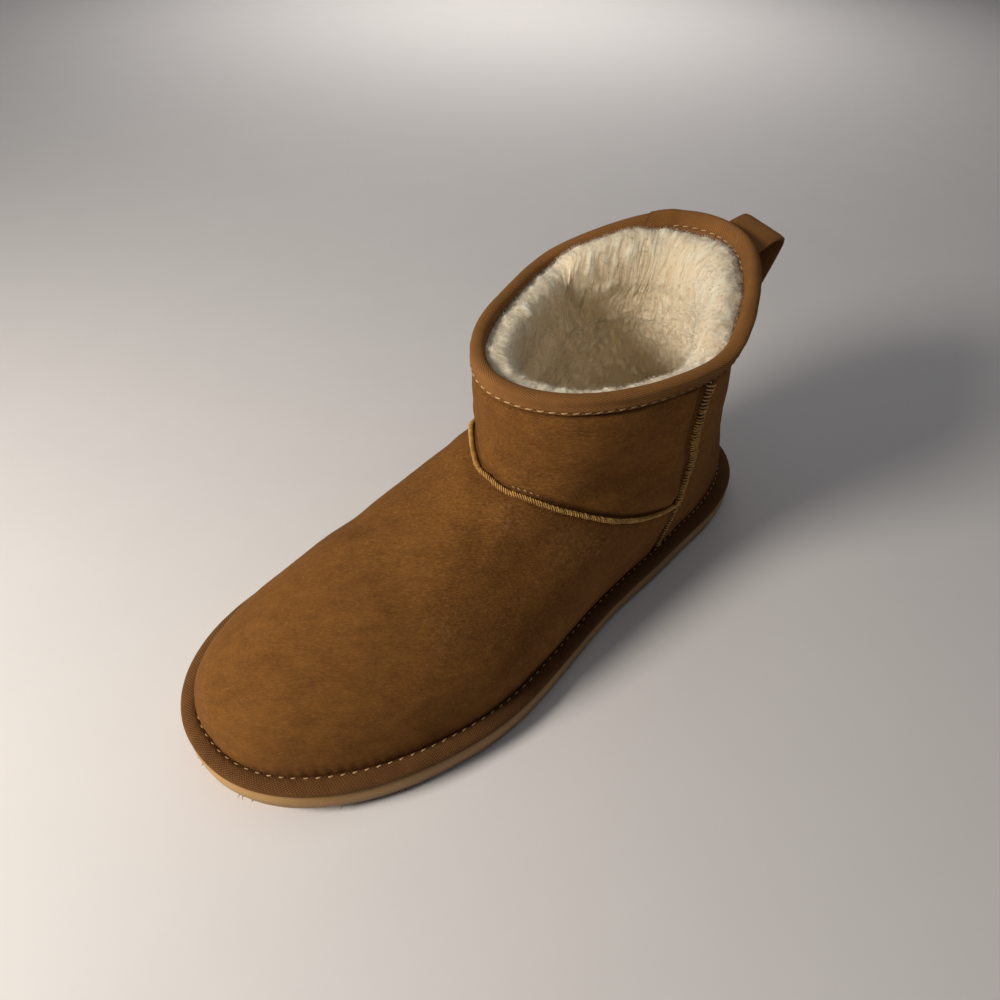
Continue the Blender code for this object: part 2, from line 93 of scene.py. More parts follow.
# Sections of the upper from the feather edge to the rim, a row each.
SECTION_COLUMNS = ("rise", "back_x", "front_x", "back_z", "side_z", "front_z",
                   "heel", "waist_out", "waist_in", "ball_out", "ball_in", "mid_y")
SECTIONS = np.array((
    (0.00, 6.0, 272.8, 9.3, 9.3, 9.3, 31.5, 38.0, 32.0, 51.0, 49.0, 0.0),
    (0.10, 6.0, 273.3, 22.0, 20.0, 20.0, 32.5, 40.0, 33.5, 51.5, 50.5, 0.0),
    (0.22, 10.0, 268.5, 34.0, 31.0, 33.5, 34.5, 41.0, 35.0, 50.0, 43.0, 0.0),
    (0.34, 15.5, 250.3, 46.0, 42.0, 45.0, 37.0, 41.0, 36.0, 45.0, 37.8, -0.5),
    (0.46, 20.5, 226.4, 58.0, 52.0, 54.8, 40.0, 41.0, 37.5, 38.5, 32.5, -1.0),
    (0.57, 24.5, 198.7, 70.0, 61.0, 62.3, 42.0, 42.0, 40.0, 36.0, 30.7, -1.5),
    (0.67, 27.0, 170.4, 81.0, 70.0, 69.4, 43.0, 43.0, 42.0, 36.5, 30.2, -2.0),
    (0.76, 28.5, 155.0, 91.0, 79.0, 77.0, 43.0, 44.5, 45.0, 41.0, 33.7, -2.2),
    (0.84, 29.5, 151.4, 101.0, 89.0, 86.0, 42.5, 45.5, 47.0, 44.5, 41.4, -2.2),
    (0.92, 28.0, 152.7, 113.5, 100.5, 98.8, 41.4, 46.5, 48.5, 45.8, 42.5, -2.2),
    (1.00, 18.4, 153.0, 126.7, 112.2, 113.3, 43.6, 48.0, 50.0, 46.8, 44.3, -2.2),
))

# The pull loop: rise and stand-off of the rows sewn to the binding and to the shaft, x and z
# of the free part from the one down to the other, and the rows of points that are stitched.
STRAP_ON_BINDING = ((0.971, 0.0), (0.982, 0.2))
STRAP_ON_SHAFT = ((0.795, 0.2), (0.775, 0.0), (0.755, 0.0))
STRAP_FREE = (
    (16.5, 124.7), (12.2, 125.3), (7.6, 125.5), (4.2, 124.8), (3.0, 123.1), (3.6, 120.5),
    (7.4, 114.0), (12.6, 106.3), (18.5, 99.8),
)
STRAP_STITCHED = (5, 88)

# Soft waves of the suede beside a seam: how deep it sinks, how high it swells, and how strong the
# painted shade in its trough is; then distance from the seam and half width, in millimetres. The
# first is above the vamp seam or ahead of a side seam, the second on the other side.
VAMP_SINK = ((1.1, 1.5, 1.0), (0.5, 1.2, 0.8))
VAMP_SWELL = ((0.9, 9.0, 4.5), (0.5, 8.0, 4.0))
VAMP_PAINTED_SHADE = ((0.50, 1.5, 1.0), (0.20, 1.1, 0.8))
SIDE_SINK = ((1.1, 3.2, 1.6), (0.8, 2.6, 1.4))
SIDE_SWELL = ((0.6, 9.0, 4.0), (0.6, 9.0, 4.0))
SIDE_PAINTED_SHADE = ((0.45, 3.0, 1.6), (0.25, 2.4, 1.2))

# Seams: how the vamp seam sags beside its ticks and lies in at the instep's middle, in
# millimetres, and where its row of ticks shows: place around, pitch and distance above.
VAMP_SEAM_SAG = 1.2
VAMP_SEAM_SAG_AT = 0.055
INSTEP_TUCK = 2.2
TICKS_AT = 0.078
TICKS_WIDE = 0.045
TICK_PITCH = 2.4
TICKS_ABOVE = 2.4

# Creases of the suede, from one place (around, rise) to another, with a half width and a
# depth in millimetres; a negative depth is a soft ridge.
CREASE_COLUMNS = ("around_from", "rise_from", "around_to", "rise_to", "half_width", "depth")
CREASES = (
    (0.070, 0.66, 0.110, 0.59, 3.5, 0.55),
    (0.088, 0.67, 0.128, 0.60, 3.2, -0.55),
    (0.960, 0.60, 0.915, 0.52, 5.0, 0.8),
    (0.950, 0.54, 0.905, 0.46, 8.0, -0.5),
    (0.085, 0.50, 0.120, 0.40, 7.0, 0.6),
    (0.870, 0.44, 0.820, 0.34, 8.0, 0.7),
    (0.040, 0.80, 0.160, 0.77, 6.0, 0.6),
    (0.950, 0.82, 0.850, 0.78, 6.0, 0.7),
    (0.420, 0.62, 0.560, 0.63, 9.0, 0.8),
    (0.440, 0.50, 0.590, 0.49, 10.0, -0.6),
)

# Patches where the suede is paler: rubbed nap, and on the first two a painted highlight along the
# ridge beside the vamp seam. Around, rise, half width in millimetres, strength.
RUBS_AND_HIGHLIGHTS = (
    (0.119, 0.633, 3.5, 0.45), (0.084, 0.680, 3.5, 0.40), (0.228, 0.438, 8.0, 0.42),
    (0.209, 0.478, 6.0, 0.35), (0.246, 0.420, 7.0, 0.38), (0.152, 0.358, 9.0, 0.20),
)

# Visible face of the fleece, from behind the binding inwards and down: rise and depth. Its
# lower part is the same all round.
FLEECE_LOW = (
    (0.52, 10.6), (0.44, 10.5), (0.36, 10.5), (0.28, 10.5), (0.20, 10.5), (0.12, 10.5),
    (0.05, 10.5), (0.0, 10.5),
)
FLEECE_FACE = (
    (0.9480, 3.6), (0.9560, 4.3), (0.9600, 5.4), (0.9605, 6.8), (0.9585, 8.4), (0.9540, 10.0),
    (0.9460, 11.6), (0.9340, 13.0), (0.918, 14.0), (0.897, 14.5), (0.870, 14.4), (0.835, 13.8),
    (0.79, 13.0), (0.74, 12.2), (0.67, 11.5), (0.60, 11.0), *FLEECE_LOW,
)
# The same where the fleece swells up in a plump roll, at the front and the sides.
FLEECE_ROLL = (
    (0.9480, 3.6), (0.9680, 3.9), (0.9800, 4.6), (0.9860, 5.8), (0.9895, 7.6), (0.9905, 9.6),
    (0.9890, 11.8), (0.9840, 13.6), (0.9740, 15.2), (0.9570, 16.2), (0.9300, 16.6), (0.885, 16.0),
    (0.825, 14.5), (0.76, 13.0), (0.68, 11.8), (0.60, 11.1), *FLEECE_LOW,
)
RISE_LENGTH = 150.0         # millimetres that the whole rise stands for along these faces
ROLL_DIP = 0.50             # place around the rim where the fleece lies lowest, at the heel
ROLL_DIP_WIDE = 0.17
ROLL_LOW_AT = 0.24          # where it lies half as low, on the outer side
ROLL_LOW_WIDE = 0.12
PRESSED_AT = 0.555          # where it is pressed down below the binding's stitches
PRESSED_WIDE = 0.06
PRESSED = 0.010
FLEECE_BACK_DEPTH = 4.5     # depth of the layers' hidden back, and the rise it ends at
FLEECE_BACK_TOP = 0.944
LOCK_SIZE = 5.5             # combed locks, strands in them and broad clumps: size and height
LOCK_HIGH = 0.70
STRAND_SIZE = 1.2
STRAND_HIGH = 0.26
CLUMP_SIZE = 13.0
FIBRE_THICK = 0.075
PILE_LIFT = 0.25            # how much the loose fibres stand up
INSOLE_RISE = 0.07

# Section of the binding, as rise and depth: from inside its lower edge out, over the rim and in.
BINDING_FOLD = (
    (0.9700, 1.0), (0.9690, 0.4), (0.9692, -0.15), (0.9706, -0.50), (0.9722, -0.42),
    (0.9738, -0.12), (0.9756, -0.40), (0.980, -0.50), (0.9845, -0.30), (0.989, -0.35),
    (0.994, -0.50), (0.9985, -0.30), (1.0018, 0.45), (1.0036, 1.5), (1.0036, 2.7),
    (1.0018, 3.8), (0.9975, 4.7), (0.991, 5.0), (0.983, 4.95), (0.974, 4.8), (0.965, 4.8),
    (0.960, 4.65), (0.9565, 4.85), (0.9535, 4.7), (0.9510, 4.2), (0.9525, 3.45),
)
BINDING_BACK = ((0.970, 3.3), (0.990, 3.3), (0.992, 1.6), (0.980, 1.2))
BINDING_MIDDLE = 2.0        # depth that parts its outer leaf from its inner one
OVERLAP_AT = 0.610          # where the binding's end laps over its start, around the rim
OVERLAP_LONG = 0.050
OVERLAP_THICK = 0.75
BINDING_PITCH = 3.9
BINDING_EDGE_RISE = 0.9690  # rise of its outer leaf's lower edge, and of the stitch rows
BINDING_STITCH_RISE = 0.9738
BINDING_STITCH_INSIDE = 0.968
# The stitch rows: rise, depth, 1 facing out or -1 facing in, and how much painted shade darkens
# them along the outer side back to the heel.
BINDING_ROWS = (
    (BINDING_STITCH_RISE, -0.22, 1.0, 0.62), (BINDING_STITCH_INSIDE, 4.80, -1.0, 0.0),
)

# Section of the welt tape: share of the way from the upper's foot to the sole's edge, and lift.
TAPE_FOLD = (
    (0.02, 0.0), (0.50, 0.0), (0.92, 0.0), (1.02, 0.35), (1.055, 0.95), (1.04, 1.65),
    (0.97, 2.30), (0.84, 2.85), (0.66, 3.25), (0.48, 3.45), (0.32, 3.42), (0.20, 3.20),
    (0.11, 2.95), (0.03, 2.90), (-0.04, 2.4), (0.0, 1.4),
)
WELT_PITCH = 4.0
STITCHED_RISE = 0.03        # rise of the upper where the welt's stitches hold it

# Side of the outsole, from its lower edge up: inset from the outline and share of the height.
SOLE_SIDE = (
    (1.8, 0.0), (0.8, 0.04), (0.25, 0.12), (-0.10, 0.24), (-0.28, 0.40), (-0.28, 0.60),
    (0.0, 0.80), (0.35, 0.93), (0.65, 0.985), (1.2, 1.0),
)
OUTER_PAINTED_SHADE = 0.55           # how dark the painted shade is on the welt and the gum at the outer side

# Colours as the eye sees them under white light, 0 to 255.
SUEDE_LIGHT = (143, 96, 46)
SUEDE_DARK = (86, 54, 27)
SUEDE_SHADE = (48, 29, 15)
SUEDE_FLECK = (176, 124, 72)
SUEDE_RUB_AND_HIGHLIGHT = (178, 134, 88)
EDGE_LIGHT = (130, 88, 46)
EDGE_DARK = (78, 50, 26)
BINDING_LIGHT = (182, 126, 70)
BINDING_DARK = (104, 68, 34)
WELT_LIGHT = (162, 110, 60)
WELT_DARK = (56, 35, 18)
FLEECE_TIP = (255, 245, 222)
FLEECE_SHADED_ROOT = (228, 203, 162)
GUM_LIGHT = (214, 170, 108)
GUM_DARK = (180, 134, 80)
GUM_DUST = (120, 84, 50)
GUM_SHADE = (96, 66, 38)
THREAD_LIGHT = (242, 190, 106)
THREAD_DARK = (140, 94, 42)
CREAM_LIGHT = (224, 188, 136)
CREAM_DARK = (184, 142, 92)
FLOOR_COLOUR = (238, 235, 233)
SKY_COLOUR = (222, 228, 240)

# Turn of the suede's combing about the vertical, in radians.
NAP_TURN = 0.75

# The camera: where it stands in the work axes, in metres, and how it is turned, in radians.
CAMERA_PLACE = (0.2889, 0.1553, 0.2548)
CAMERA_YAW = 3.9643
CAMERA_PITCH = 0.7627
CAMERA_ROLL = 0.0316
CAMERA_LENS = 27.0

# Lights, in the frame's metres: the key stands above the toe, towards the inner side.
LIGHTS = {
    "key": dict(place=(0.58, -0.15, 0.43), aim=(-0.02, 0.0, 0.04), size=0.22, power=4.4,
                colour=(255, 247, 237)),
    "overhead": dict(place=(-0.15, 0.0, 1.20), aim=(0.0, 0.0, 0.0), size=1.4, power=1.65,
                     colour=(252, 250, 248)),
    "far": dict(place=(-0.80, -0.90, 0.70), aim=(-0.80, -0.90, 0.0), size=0.9, power=3.2,
                colour=(255, 250, 246), spread=124.0),
}
SKY_STRENGTH = 0.075
FLOOR_REACH = 3.0

random = np.random.default_rng(7)


# ---------------------------------------------------------------- the shape of the last

def smooth(value):
    """Ease from 0 to 1."""
    value = np.clip(value, 0.0, 1.0)
    return value * value * (3.0 - 2.0 * value)


def bell(distance, half_width):
    """1 at no distance, falling off smoothly over a half width."""
    return np.exp(-((distance / half_width) ** 2))


def section_at(rise):
    """The upper's sections at an array of rises: smooth curves through the rows of the table."""
    rises = SECTIONS[:, 0]
    last = len(rises) - 1
    rise = np.clip(rise, 0.0, 1.0)
    low = np.clip(np.searchsorted(rises, rise, side="right") - 1, 0, last - 1)
    before = np.maximum(np.arange(last + 1) - 1, 0)
    after = np.minimum(np.arange(last + 1) + 1, last)
    slopes = (SECTIONS[after] - SECTIONS[before]) / (rises[after] - rises[before])[:, None]
    span = (rises[low + 1] - rises[low])[:, None]
    f = (rise - rises[low])[:, None] / span
    row = ((2 * f**3 - 3 * f**2 + 1) * SECTIONS[low] + (f**3 - 2 * f**2 + f) * span * slopes[low]
           + (3 * f**2 - 2 * f**3) * SECTIONS[low + 1] + (f**3 - f**2) * span * slopes[low + 1])
    section = {name: row[:, k] for k, name in enumerate(SECTION_COLUMNS)}
    section["heel_cap_out"] = 0.19 + 0.305 * rise
    section["heel_cap_in"] = 0.19 + 0.295 * rise
    section["toe_cap_out"] = 0.41 + 0.15 * np.minimum(1.0, rise / 0.6)
    section["toe_cap_in"] = 0.25 + 0.325 * rise
    section["toe_power_out"] = 2.0 + 0.4 * smooth(1.0 - rise / 0.3)
    section["toe_power_in"] = 1.93
    section["twist"] = COLLAR_TWIST * smooth((rise - 0.45) / 0.45)
    section["toe_in"] = 3.6 * smooth(1.0 - rise / 0.8)
    return section


def half_width(s, section, side):
    """Half width of a section at share s of its length, from the heel's back to the toe."""
    heel, waist, ball = section["heel"], section["waist_" + side], section["ball_" + side]
    width = heel + (waist - heel) * smooth((s - 0.10) / 0.32)
    width = width + (ball - waist) * smooth((s - 0.36) / 0.36)
    heel_cap, toe_cap = section["heel_cap_" + side], section["toe_cap_" + side]
    power = section["toe_power_" + side]
    behind = np.clip((heel_cap - s) / heel_cap, 0.0, 1.0)
    ahead = np.clip((s - 1.0 + toe_cap) / toe_cap, 0.0, 1.0)
    return width * np.sqrt(1.0 - behind**2) * np.maximum(1.0 - ahead**power, 0.0) ** (1.0 / power)


def outline(section, around):
    """Plan points of a section at places around the foot, as x, y and share of the length."""
    around = np.mod(around, 1.0)
    s = (1.0 + np.cos(TURN * around)) / 2.0
    x = section["back_x"] + (section["front_x"] - section["back_x"]) * s
    middle = section["mid_y"] - section["toe_in"] * np.maximum((s - 0.55) / 0.45, 0.0) ** 2
    middle = middle + section["twist"] * (x - SHAFT_X)
    outer = middle + half_width(s, section, "out")
    inner = middle - half_width(s, section, "in")
    return x, np.where(around < 0.5, outer, inner), s


def spring(x):
    """Lift of the sole under the toe."""
    ahead = np.maximum((x / SOLE_LENGTH - SPRING_START) / (1.0 - SPRING_START), 0.0)
    return TOE_SPRING * ahead**2


def suede_face(around, rise):
    """Points on the upper's outer face, carried on straight above the rim."""
    around, rise = np.broadcast_arrays(np.asarray(around, float), np.asarray(rise, float))
    shape = around.shape
    around, rise = around.ravel(), rise.ravel()
    above = np.maximum(rise - 1.0, 0.0)
    if above.any():
        step = 0.01
        top = suede_face(around, np.minimum(rise, 1.0))
        lower = suede_face(around, np.minimum(rise, 1.0) - step)
        return (top + (top - lower) * (above / step)[:, None]).reshape(*shape, 3)
    section = section_at(rise)
    x, y, s = outline(section, around)
    side_z = section["side_z"] + np.where(
        np.mod(around, 1.0) > 0.5, INNER_LIFT * smooth((rise - 0.8) / 0.2), 0.0)
    behind = section["back_z"] + (side_z - section["back_z"]) * smooth(2.0 * s)
    ahead = side_z + (section["front_z"] - side_z) * smooth(2.0 * s - 1.0)
    z = np.where(s < 0.5, behind, ahead)
    z = z + spring(x) * np.clip((60.0 - z) / 50.0, 0.0, 1.0)
    return np.stack([x, y, z], axis=-1).reshape(*shape, 3)


def unit(vectors):
    """Vectors at length one."""
    return vectors / np.maximum(np.linalg.norm(vectors, axis=-1, keepdims=True), 1e-12)


def heading(points):
    """Unit direction of a line at each of its points."""
    return unit(np.gradient(points, axis=0))


def outward(around, rise):
    """Unit normals of the upper's outer face, level at the feather edge."""
    step = 0.002
    along = suede_face(around + step, rise) - suede_face(around - step, rise)
    up = suede_face(around, rise + step) - suede_face(around, rise - step)
    normal = np.cross(along, up)
    normal[..., 2] *= smooth(np.asarray(rise) / 0.12)
    return unit(normal)


def skin(around, rise, depth):
    """Points in the upper's wall, depth in from the suede's face; minus is outside it."""
    around, rise, depth = np.broadcast_arrays(
        np.asarray(around, float), np.asarray(rise, float), np.asarray(depth, float))
    points = suede_face(around, rise) - outward(around, rise) * depth[..., None]
    foot = SOLE_THICK + GAP + spring(points[..., 0])
    points[..., 2] = np.where(rise == 0.0, foot, points[..., 2])
    return points


def sole_edge(around, inset):
    """Plan points of the sole's outline moved inwards."""
    step = 0.002
    x, y, _ = outline(SOLE, around)
    x_next, y_next, _ = outline(SOLE, around + step)
    x_last, y_last, _ = outline(SOLE, around - step)
    across = unit(np.stack([x_next - x_last, y_next - y_last], axis=-1))
    return np.stack([x - across[..., 1] * inset, y + across[..., 0] * inset], axis=-1)


def foot_centre():
    """Plan centre of the outsole, where the object's origin lies."""
    sides = outline(SOLE, np.arange(72) / 72)[1]
    return np.array([SOLE_LENGTH / 2.0, (sides.max() + sides.min()) / 2.0, 0.0])


CENTRE = foot_centre()


def to_world(points):
    """Work millimetres to the frame's metres."""
    return (np.asarray(points).reshape(-1, 3) - CENTRE) * MM


def side_place(rise, x, side):
    """Place around the upper where a section passes a given x on the outer or inner side."""
    section = section_at(rise)
    s = (x - section["back_x"]) / (section["front_x"] - section["back_x"])
    around = np.arccos(2.0 * s - 1.0) / TURN
    return around if side == "outer" else 1.0 - around


def side_seam_x(rise):
    """Where the side seams stand along the foot, at a rise."""
    lean = SEAM_LEAN * smooth((rise - 0.5) / 0.45)
    return SEAM_X + SEAM_FOOT * smooth(1.0 - rise / 0.3) + lean


def vamp_seam_rise(around):
    """Rise at which the vamp seam passes places around the foot, found by halving."""
    low, high = np.full(around.shape, 0.05), np.full(around.shape, 0.90)
    for _ in range(30):
        rise = (low + high) / 2.0
        point = suede_face(around, rise)
        x, y, z = point[..., 0], point[..., 1], point[..., 2]
        ahead = np.clip((x - SEAM_X) / (VAMP_SEAM_FRONT - SEAM_X), 0.0, 1.0) ** VAMP_SEAM_BEND
        height = VAMP_SEAM_LOW + (VAMP_SEAM_HIGH - VAMP_SEAM_LOW) * ahead
        inner = smooth((2.0 - y) / 22.0) * smooth((x - SEAM_X) / 40.0)
        height = height + VAMP_SEAM_LIFT * inner
        below = z < height - VAMP_SEAM_SAG * bell(around - VAMP_SEAM_SAG_AT, 0.03)
        low, high = np.where(below, rise, low), np.where(below, high, rise)
    return low


def back_place(y, rise):
    """Places around the back of the shaft where the upper has given y, at one rise."""
    around = np.linspace(0.30, 0.70, 2000)
    sides = suede_face(around, rise)[:, 1]
    return np.interp(-np.asarray(y), -sides, around)


# ---------------------------------------------------------------- small tools for meshes

def cloud(points, size, octaves=2):
    """Soft noise of about -1 to 1 at points, with features of a size in millimetres."""
    places = (np.reshape(points, (-1, 3)) / size).tolist()
    values = [noise.fractal(place, 1.0, 2.0, octaves) for place in places]
    return np.reshape(values, np.shape(points)[:-1])


def wander(points, size, shifts):
    """Soft noise at points for each of the three axes."""
    return np.stack([cloud(points + shift, size) for shift in shifts], axis=-1)


def lumps(points, size):
    """Rounded cells, 1 at each cell's middle and 0 between cells."""
    places = (np.reshape(points, (-1, 3)) / size).tolist()
    near = np.array([noise.voronoi(place)[0][:2] for place in places])
    return smooth((near[:, 1] - near[:, 0]) / 0.7).reshape(np.shape(points)[:-1])


def path_distance(points, path):
    """Distance from each point to a line through the path's points."""
    nearest = np.full(len(points), np.inf)
    for start, end in zip(path, path[1:]):
        step = end - start
        share = np.clip((points - start) @ step / (step @ step), 0.0, 1.0)
        gap = np.linalg.norm(points - (start + share[:, None] * step), axis=1)
        nearest = np.minimum(nearest, gap)
    return nearest


def through(controls, count):
    """A smooth line of count points through a few control points."""
    controls = np.asarray(controls, float)
    padded = np.vstack([2 * controls[0] - controls[1], controls, 2 * controls[-1] - controls[-2]])
    t = np.linspace(0.0, len(controls) - 1.0, count)
    k = np.minimum(t.astype(int), len(controls) - 2)
    f = (t - k)[:, None]
    a, b, c, d = (padded[k + n] for n in range(4))
    return 0.5 * (2 * b + (c - a) * f + (2 * a - 5 * b + 4 * c - d) * f**2
                  + (3 * b - a - 3 * c + d) * f**3)


def grid_faces(rows, cols, loop_rows=False, loop_cols=True):
    """Four-sided faces of a grid of points, row by row."""
    i = np.arange(rows if loop_rows else rows - 1)
    j = np.arange(cols if loop_cols else cols - 1)
    i, j = (index.ravel() for index in np.meshgrid(i, j, indexing="ij"))
    below, right = (i + 1) % rows, (j + 1) % cols
    return np.stack([i * cols + j, i * cols + right, below * cols + right, below * cols + j], -1)


def grid_uv(u, v):
    """Texture places of a grid's faces, in millimetres: u along a row, v down the rows."""
    i, j = (index.ravel() for index in np.meshgrid(
        np.arange(len(v) - 1), np.arange(len(u) - 1), indexing="ij"))
    corners = ((i, j), (i, j + 1), (i + 1, j + 1), (i + 1, j))
    return np.stack([np.stack([u[b], v[a]], -1) for a, b in corners], axis=1).reshape(-1, 2)


def lengths(points):
    """Distance run from the first point to each."""
    steps = np.linalg.norm(np.diff(points, axis=0), axis=1)
    return np.concatenate([[0.0], np.cumsum(steps)])


def girth(ring):
    """Distance run round a closed row of points."""
    return lengths(np.vstack([ring, ring[:1]]))


def tape_uv(points, row):
    """Texture places of a folded tape that runs round the foot, measured along one row."""
    drop = lengths(points[:, 0])
    return grid_uv(girth(points[row]), np.append(drop, drop[-1] + 1.0))


def even(points, spacing):
    """The same line with evenly spaced points."""
    run = lengths(points[:, :3])
    count = max(2, round(run[-1] / spacing) + 1)
    marks = np.linspace(0.0, run[-1], count)
    return np.stack([np.interp(marks, run, column) for column in points.T], axis=-1)


def joined(shapes):
    """Several (points, faces) as one."""
    points, faces, start = [], [], 0
    for some_points, some_faces in shapes:
        points.append(some_points)
        faces.extend([tuple(int(n) + start for n in face) for face in some_faces])
        start += len(some_points)
    return np.vstack(points), faces


def circle(sides):
    """Cosines and sines of evenly spaced angles."""
    angles = np.arange(sides) / sides * TURN
    return np.cos(angles)[:, None], np.sin(angles)[:, None]


def tube_faces(rings, sides):
    """Faces of a tube of rings of points, closed at both ends."""
    last = (rings - 1) * sides
    ends = [tuple(range(sides))[::-1], tuple(range(last, last + sides))]
    return [tuple(face) for face in grid_faces(rings, sides)] + ends


def tube(path, radius, sides):
    """Points and faces of a closed tube along a path, with a radius for each point."""
    tangents = heading(path)
    normal = np.cross(tangents[0], (0.31, 0.52, 0.79))
    frames = []
    for tangent in tangents:
        normal = normal - tangent * (normal @ tangent)
        normal = normal / np.linalg.norm(normal)
        frames.append((normal, np.cross(tangent, normal)))
    frames = np.array(frames)
    cosines, sines = circle(sides)
    points = path[:, None] + radius[:, None, None] * (
        cosines * frames[:, None, 0] + sines * frames[:, None, 1])
    return points.reshape(-1, 3), tube_faces(len(path), sides)


def stitches(places, directions, normals, length, radius, proud):
    """Points and faces of many stitches: short threads whose ends dive into the surface."""
    rings, sides = 7, 6
    t = np.linspace(-1.0, 1.0, rings)
    directions, normals = unit(directions), unit(normals)
    across = unit(np.cross(directions, normals))
    height = proud - (proud + radius) * t**4
    middle = (places[:, None] + directions[:, None] * (t * length / 2.0)[:, None]
              + normals[:, None] * height[:, None])
    cosines, sines = circle(sides)
    ring = cosines * across[:, None, None] + sines * normals[:, None, None]
    points = middle[:, :, None] + (radius * (1.0 - 0.5 * t**4))[:, None, None] * ring
    one = tube_faces(rings, sides)
    every = [tuple(n + k * rings * sides for n in face)
             for k in range(len(places)) for face in one]
    return points.reshape(-1, 3), every


def stitch_ring(points, ring, facing, pitch, length, radius, proud):
    """Slightly slanting stitches along a closed row of points, and each one's place around.

    facing is called with places around and gives the way out of the surface there.
    """
    line = even(np.column_stack([points, ring]), pitch)[:-1]
    normal = facing(line[:, 3])
    tangent = heading(line[:, :3])
    slanting = tangent + 0.16 * np.cross(normal, tangent)
    return stitches(line[:, :3], slanting, normal, length, radius, proud), line[:, 3]


def spikes(*corners):
    """Points and faces of thin pyramids: three corners of each one's foot, then its tip."""
    start = (np.arange(len(corners[0])) * 4)[:, None]
    faces = [start + face for face in ((0, 2, 1), (0, 1, 3), (1, 2, 3), (2, 0, 3))]
    return np.stack(corners, axis=1).reshape(-1, 3), np.concatenate(faces)


boot = bpy.data.collections.new("slipper_boot_looks")
bpy.context.scene.collection.children.link(boot)


def make_piece(name, shape, material, uv=None, values=None, nodes=(), sharp=None):
    """A piece of the boot, given as points and faces, as a mesh that rides on the frame.

    values holds the numbers its finish reads, one for the whole piece or one for each point.
    """
    points, faces = shape
    mesh = bpy.data.meshes.new(name)
    faces = faces.tolist() if isinstance(faces, np.ndarray) else faces
    mesh.from_pydata(to_world(points).tolist(), [], faces)
    mesh.shade_smooth()
    if sharp:
        mesh.set_sharp_from_angle(angle=math.radians(sharp))
    for label, numbers in (values or {}).items():
        layer = mesh.attributes.new(label, "FLOAT", "POINT")
        numbers = np.full(len(mesh.vertices), np.ravel(numbers), np.float32)
        layer.data.foreach_set("value", numbers)
    if uv is not None:
        layer = mesh.uv_layers.new(name="weave")
        layer.data.foreach_set("uv", uv.astype(np.float32).ravel())
    mesh.materials.append(material)
    piece = bpy.data.objects.new(name, mesh)
    boot.objects.link(piece)
    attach(piece, "root")
    if nodes:
        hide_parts(*nodes)


# ---------------------------------------------------------------- finishes

def linear(colour):
    """A colour of 0 to 255 as the shader's linear values."""
    parts = [part / 255.0 for part in colour]
    return tuple(part / 12.92 if part <= 0.04045 else ((part + 0.055) / 1.055) ** 2.4
                 for part in parts)


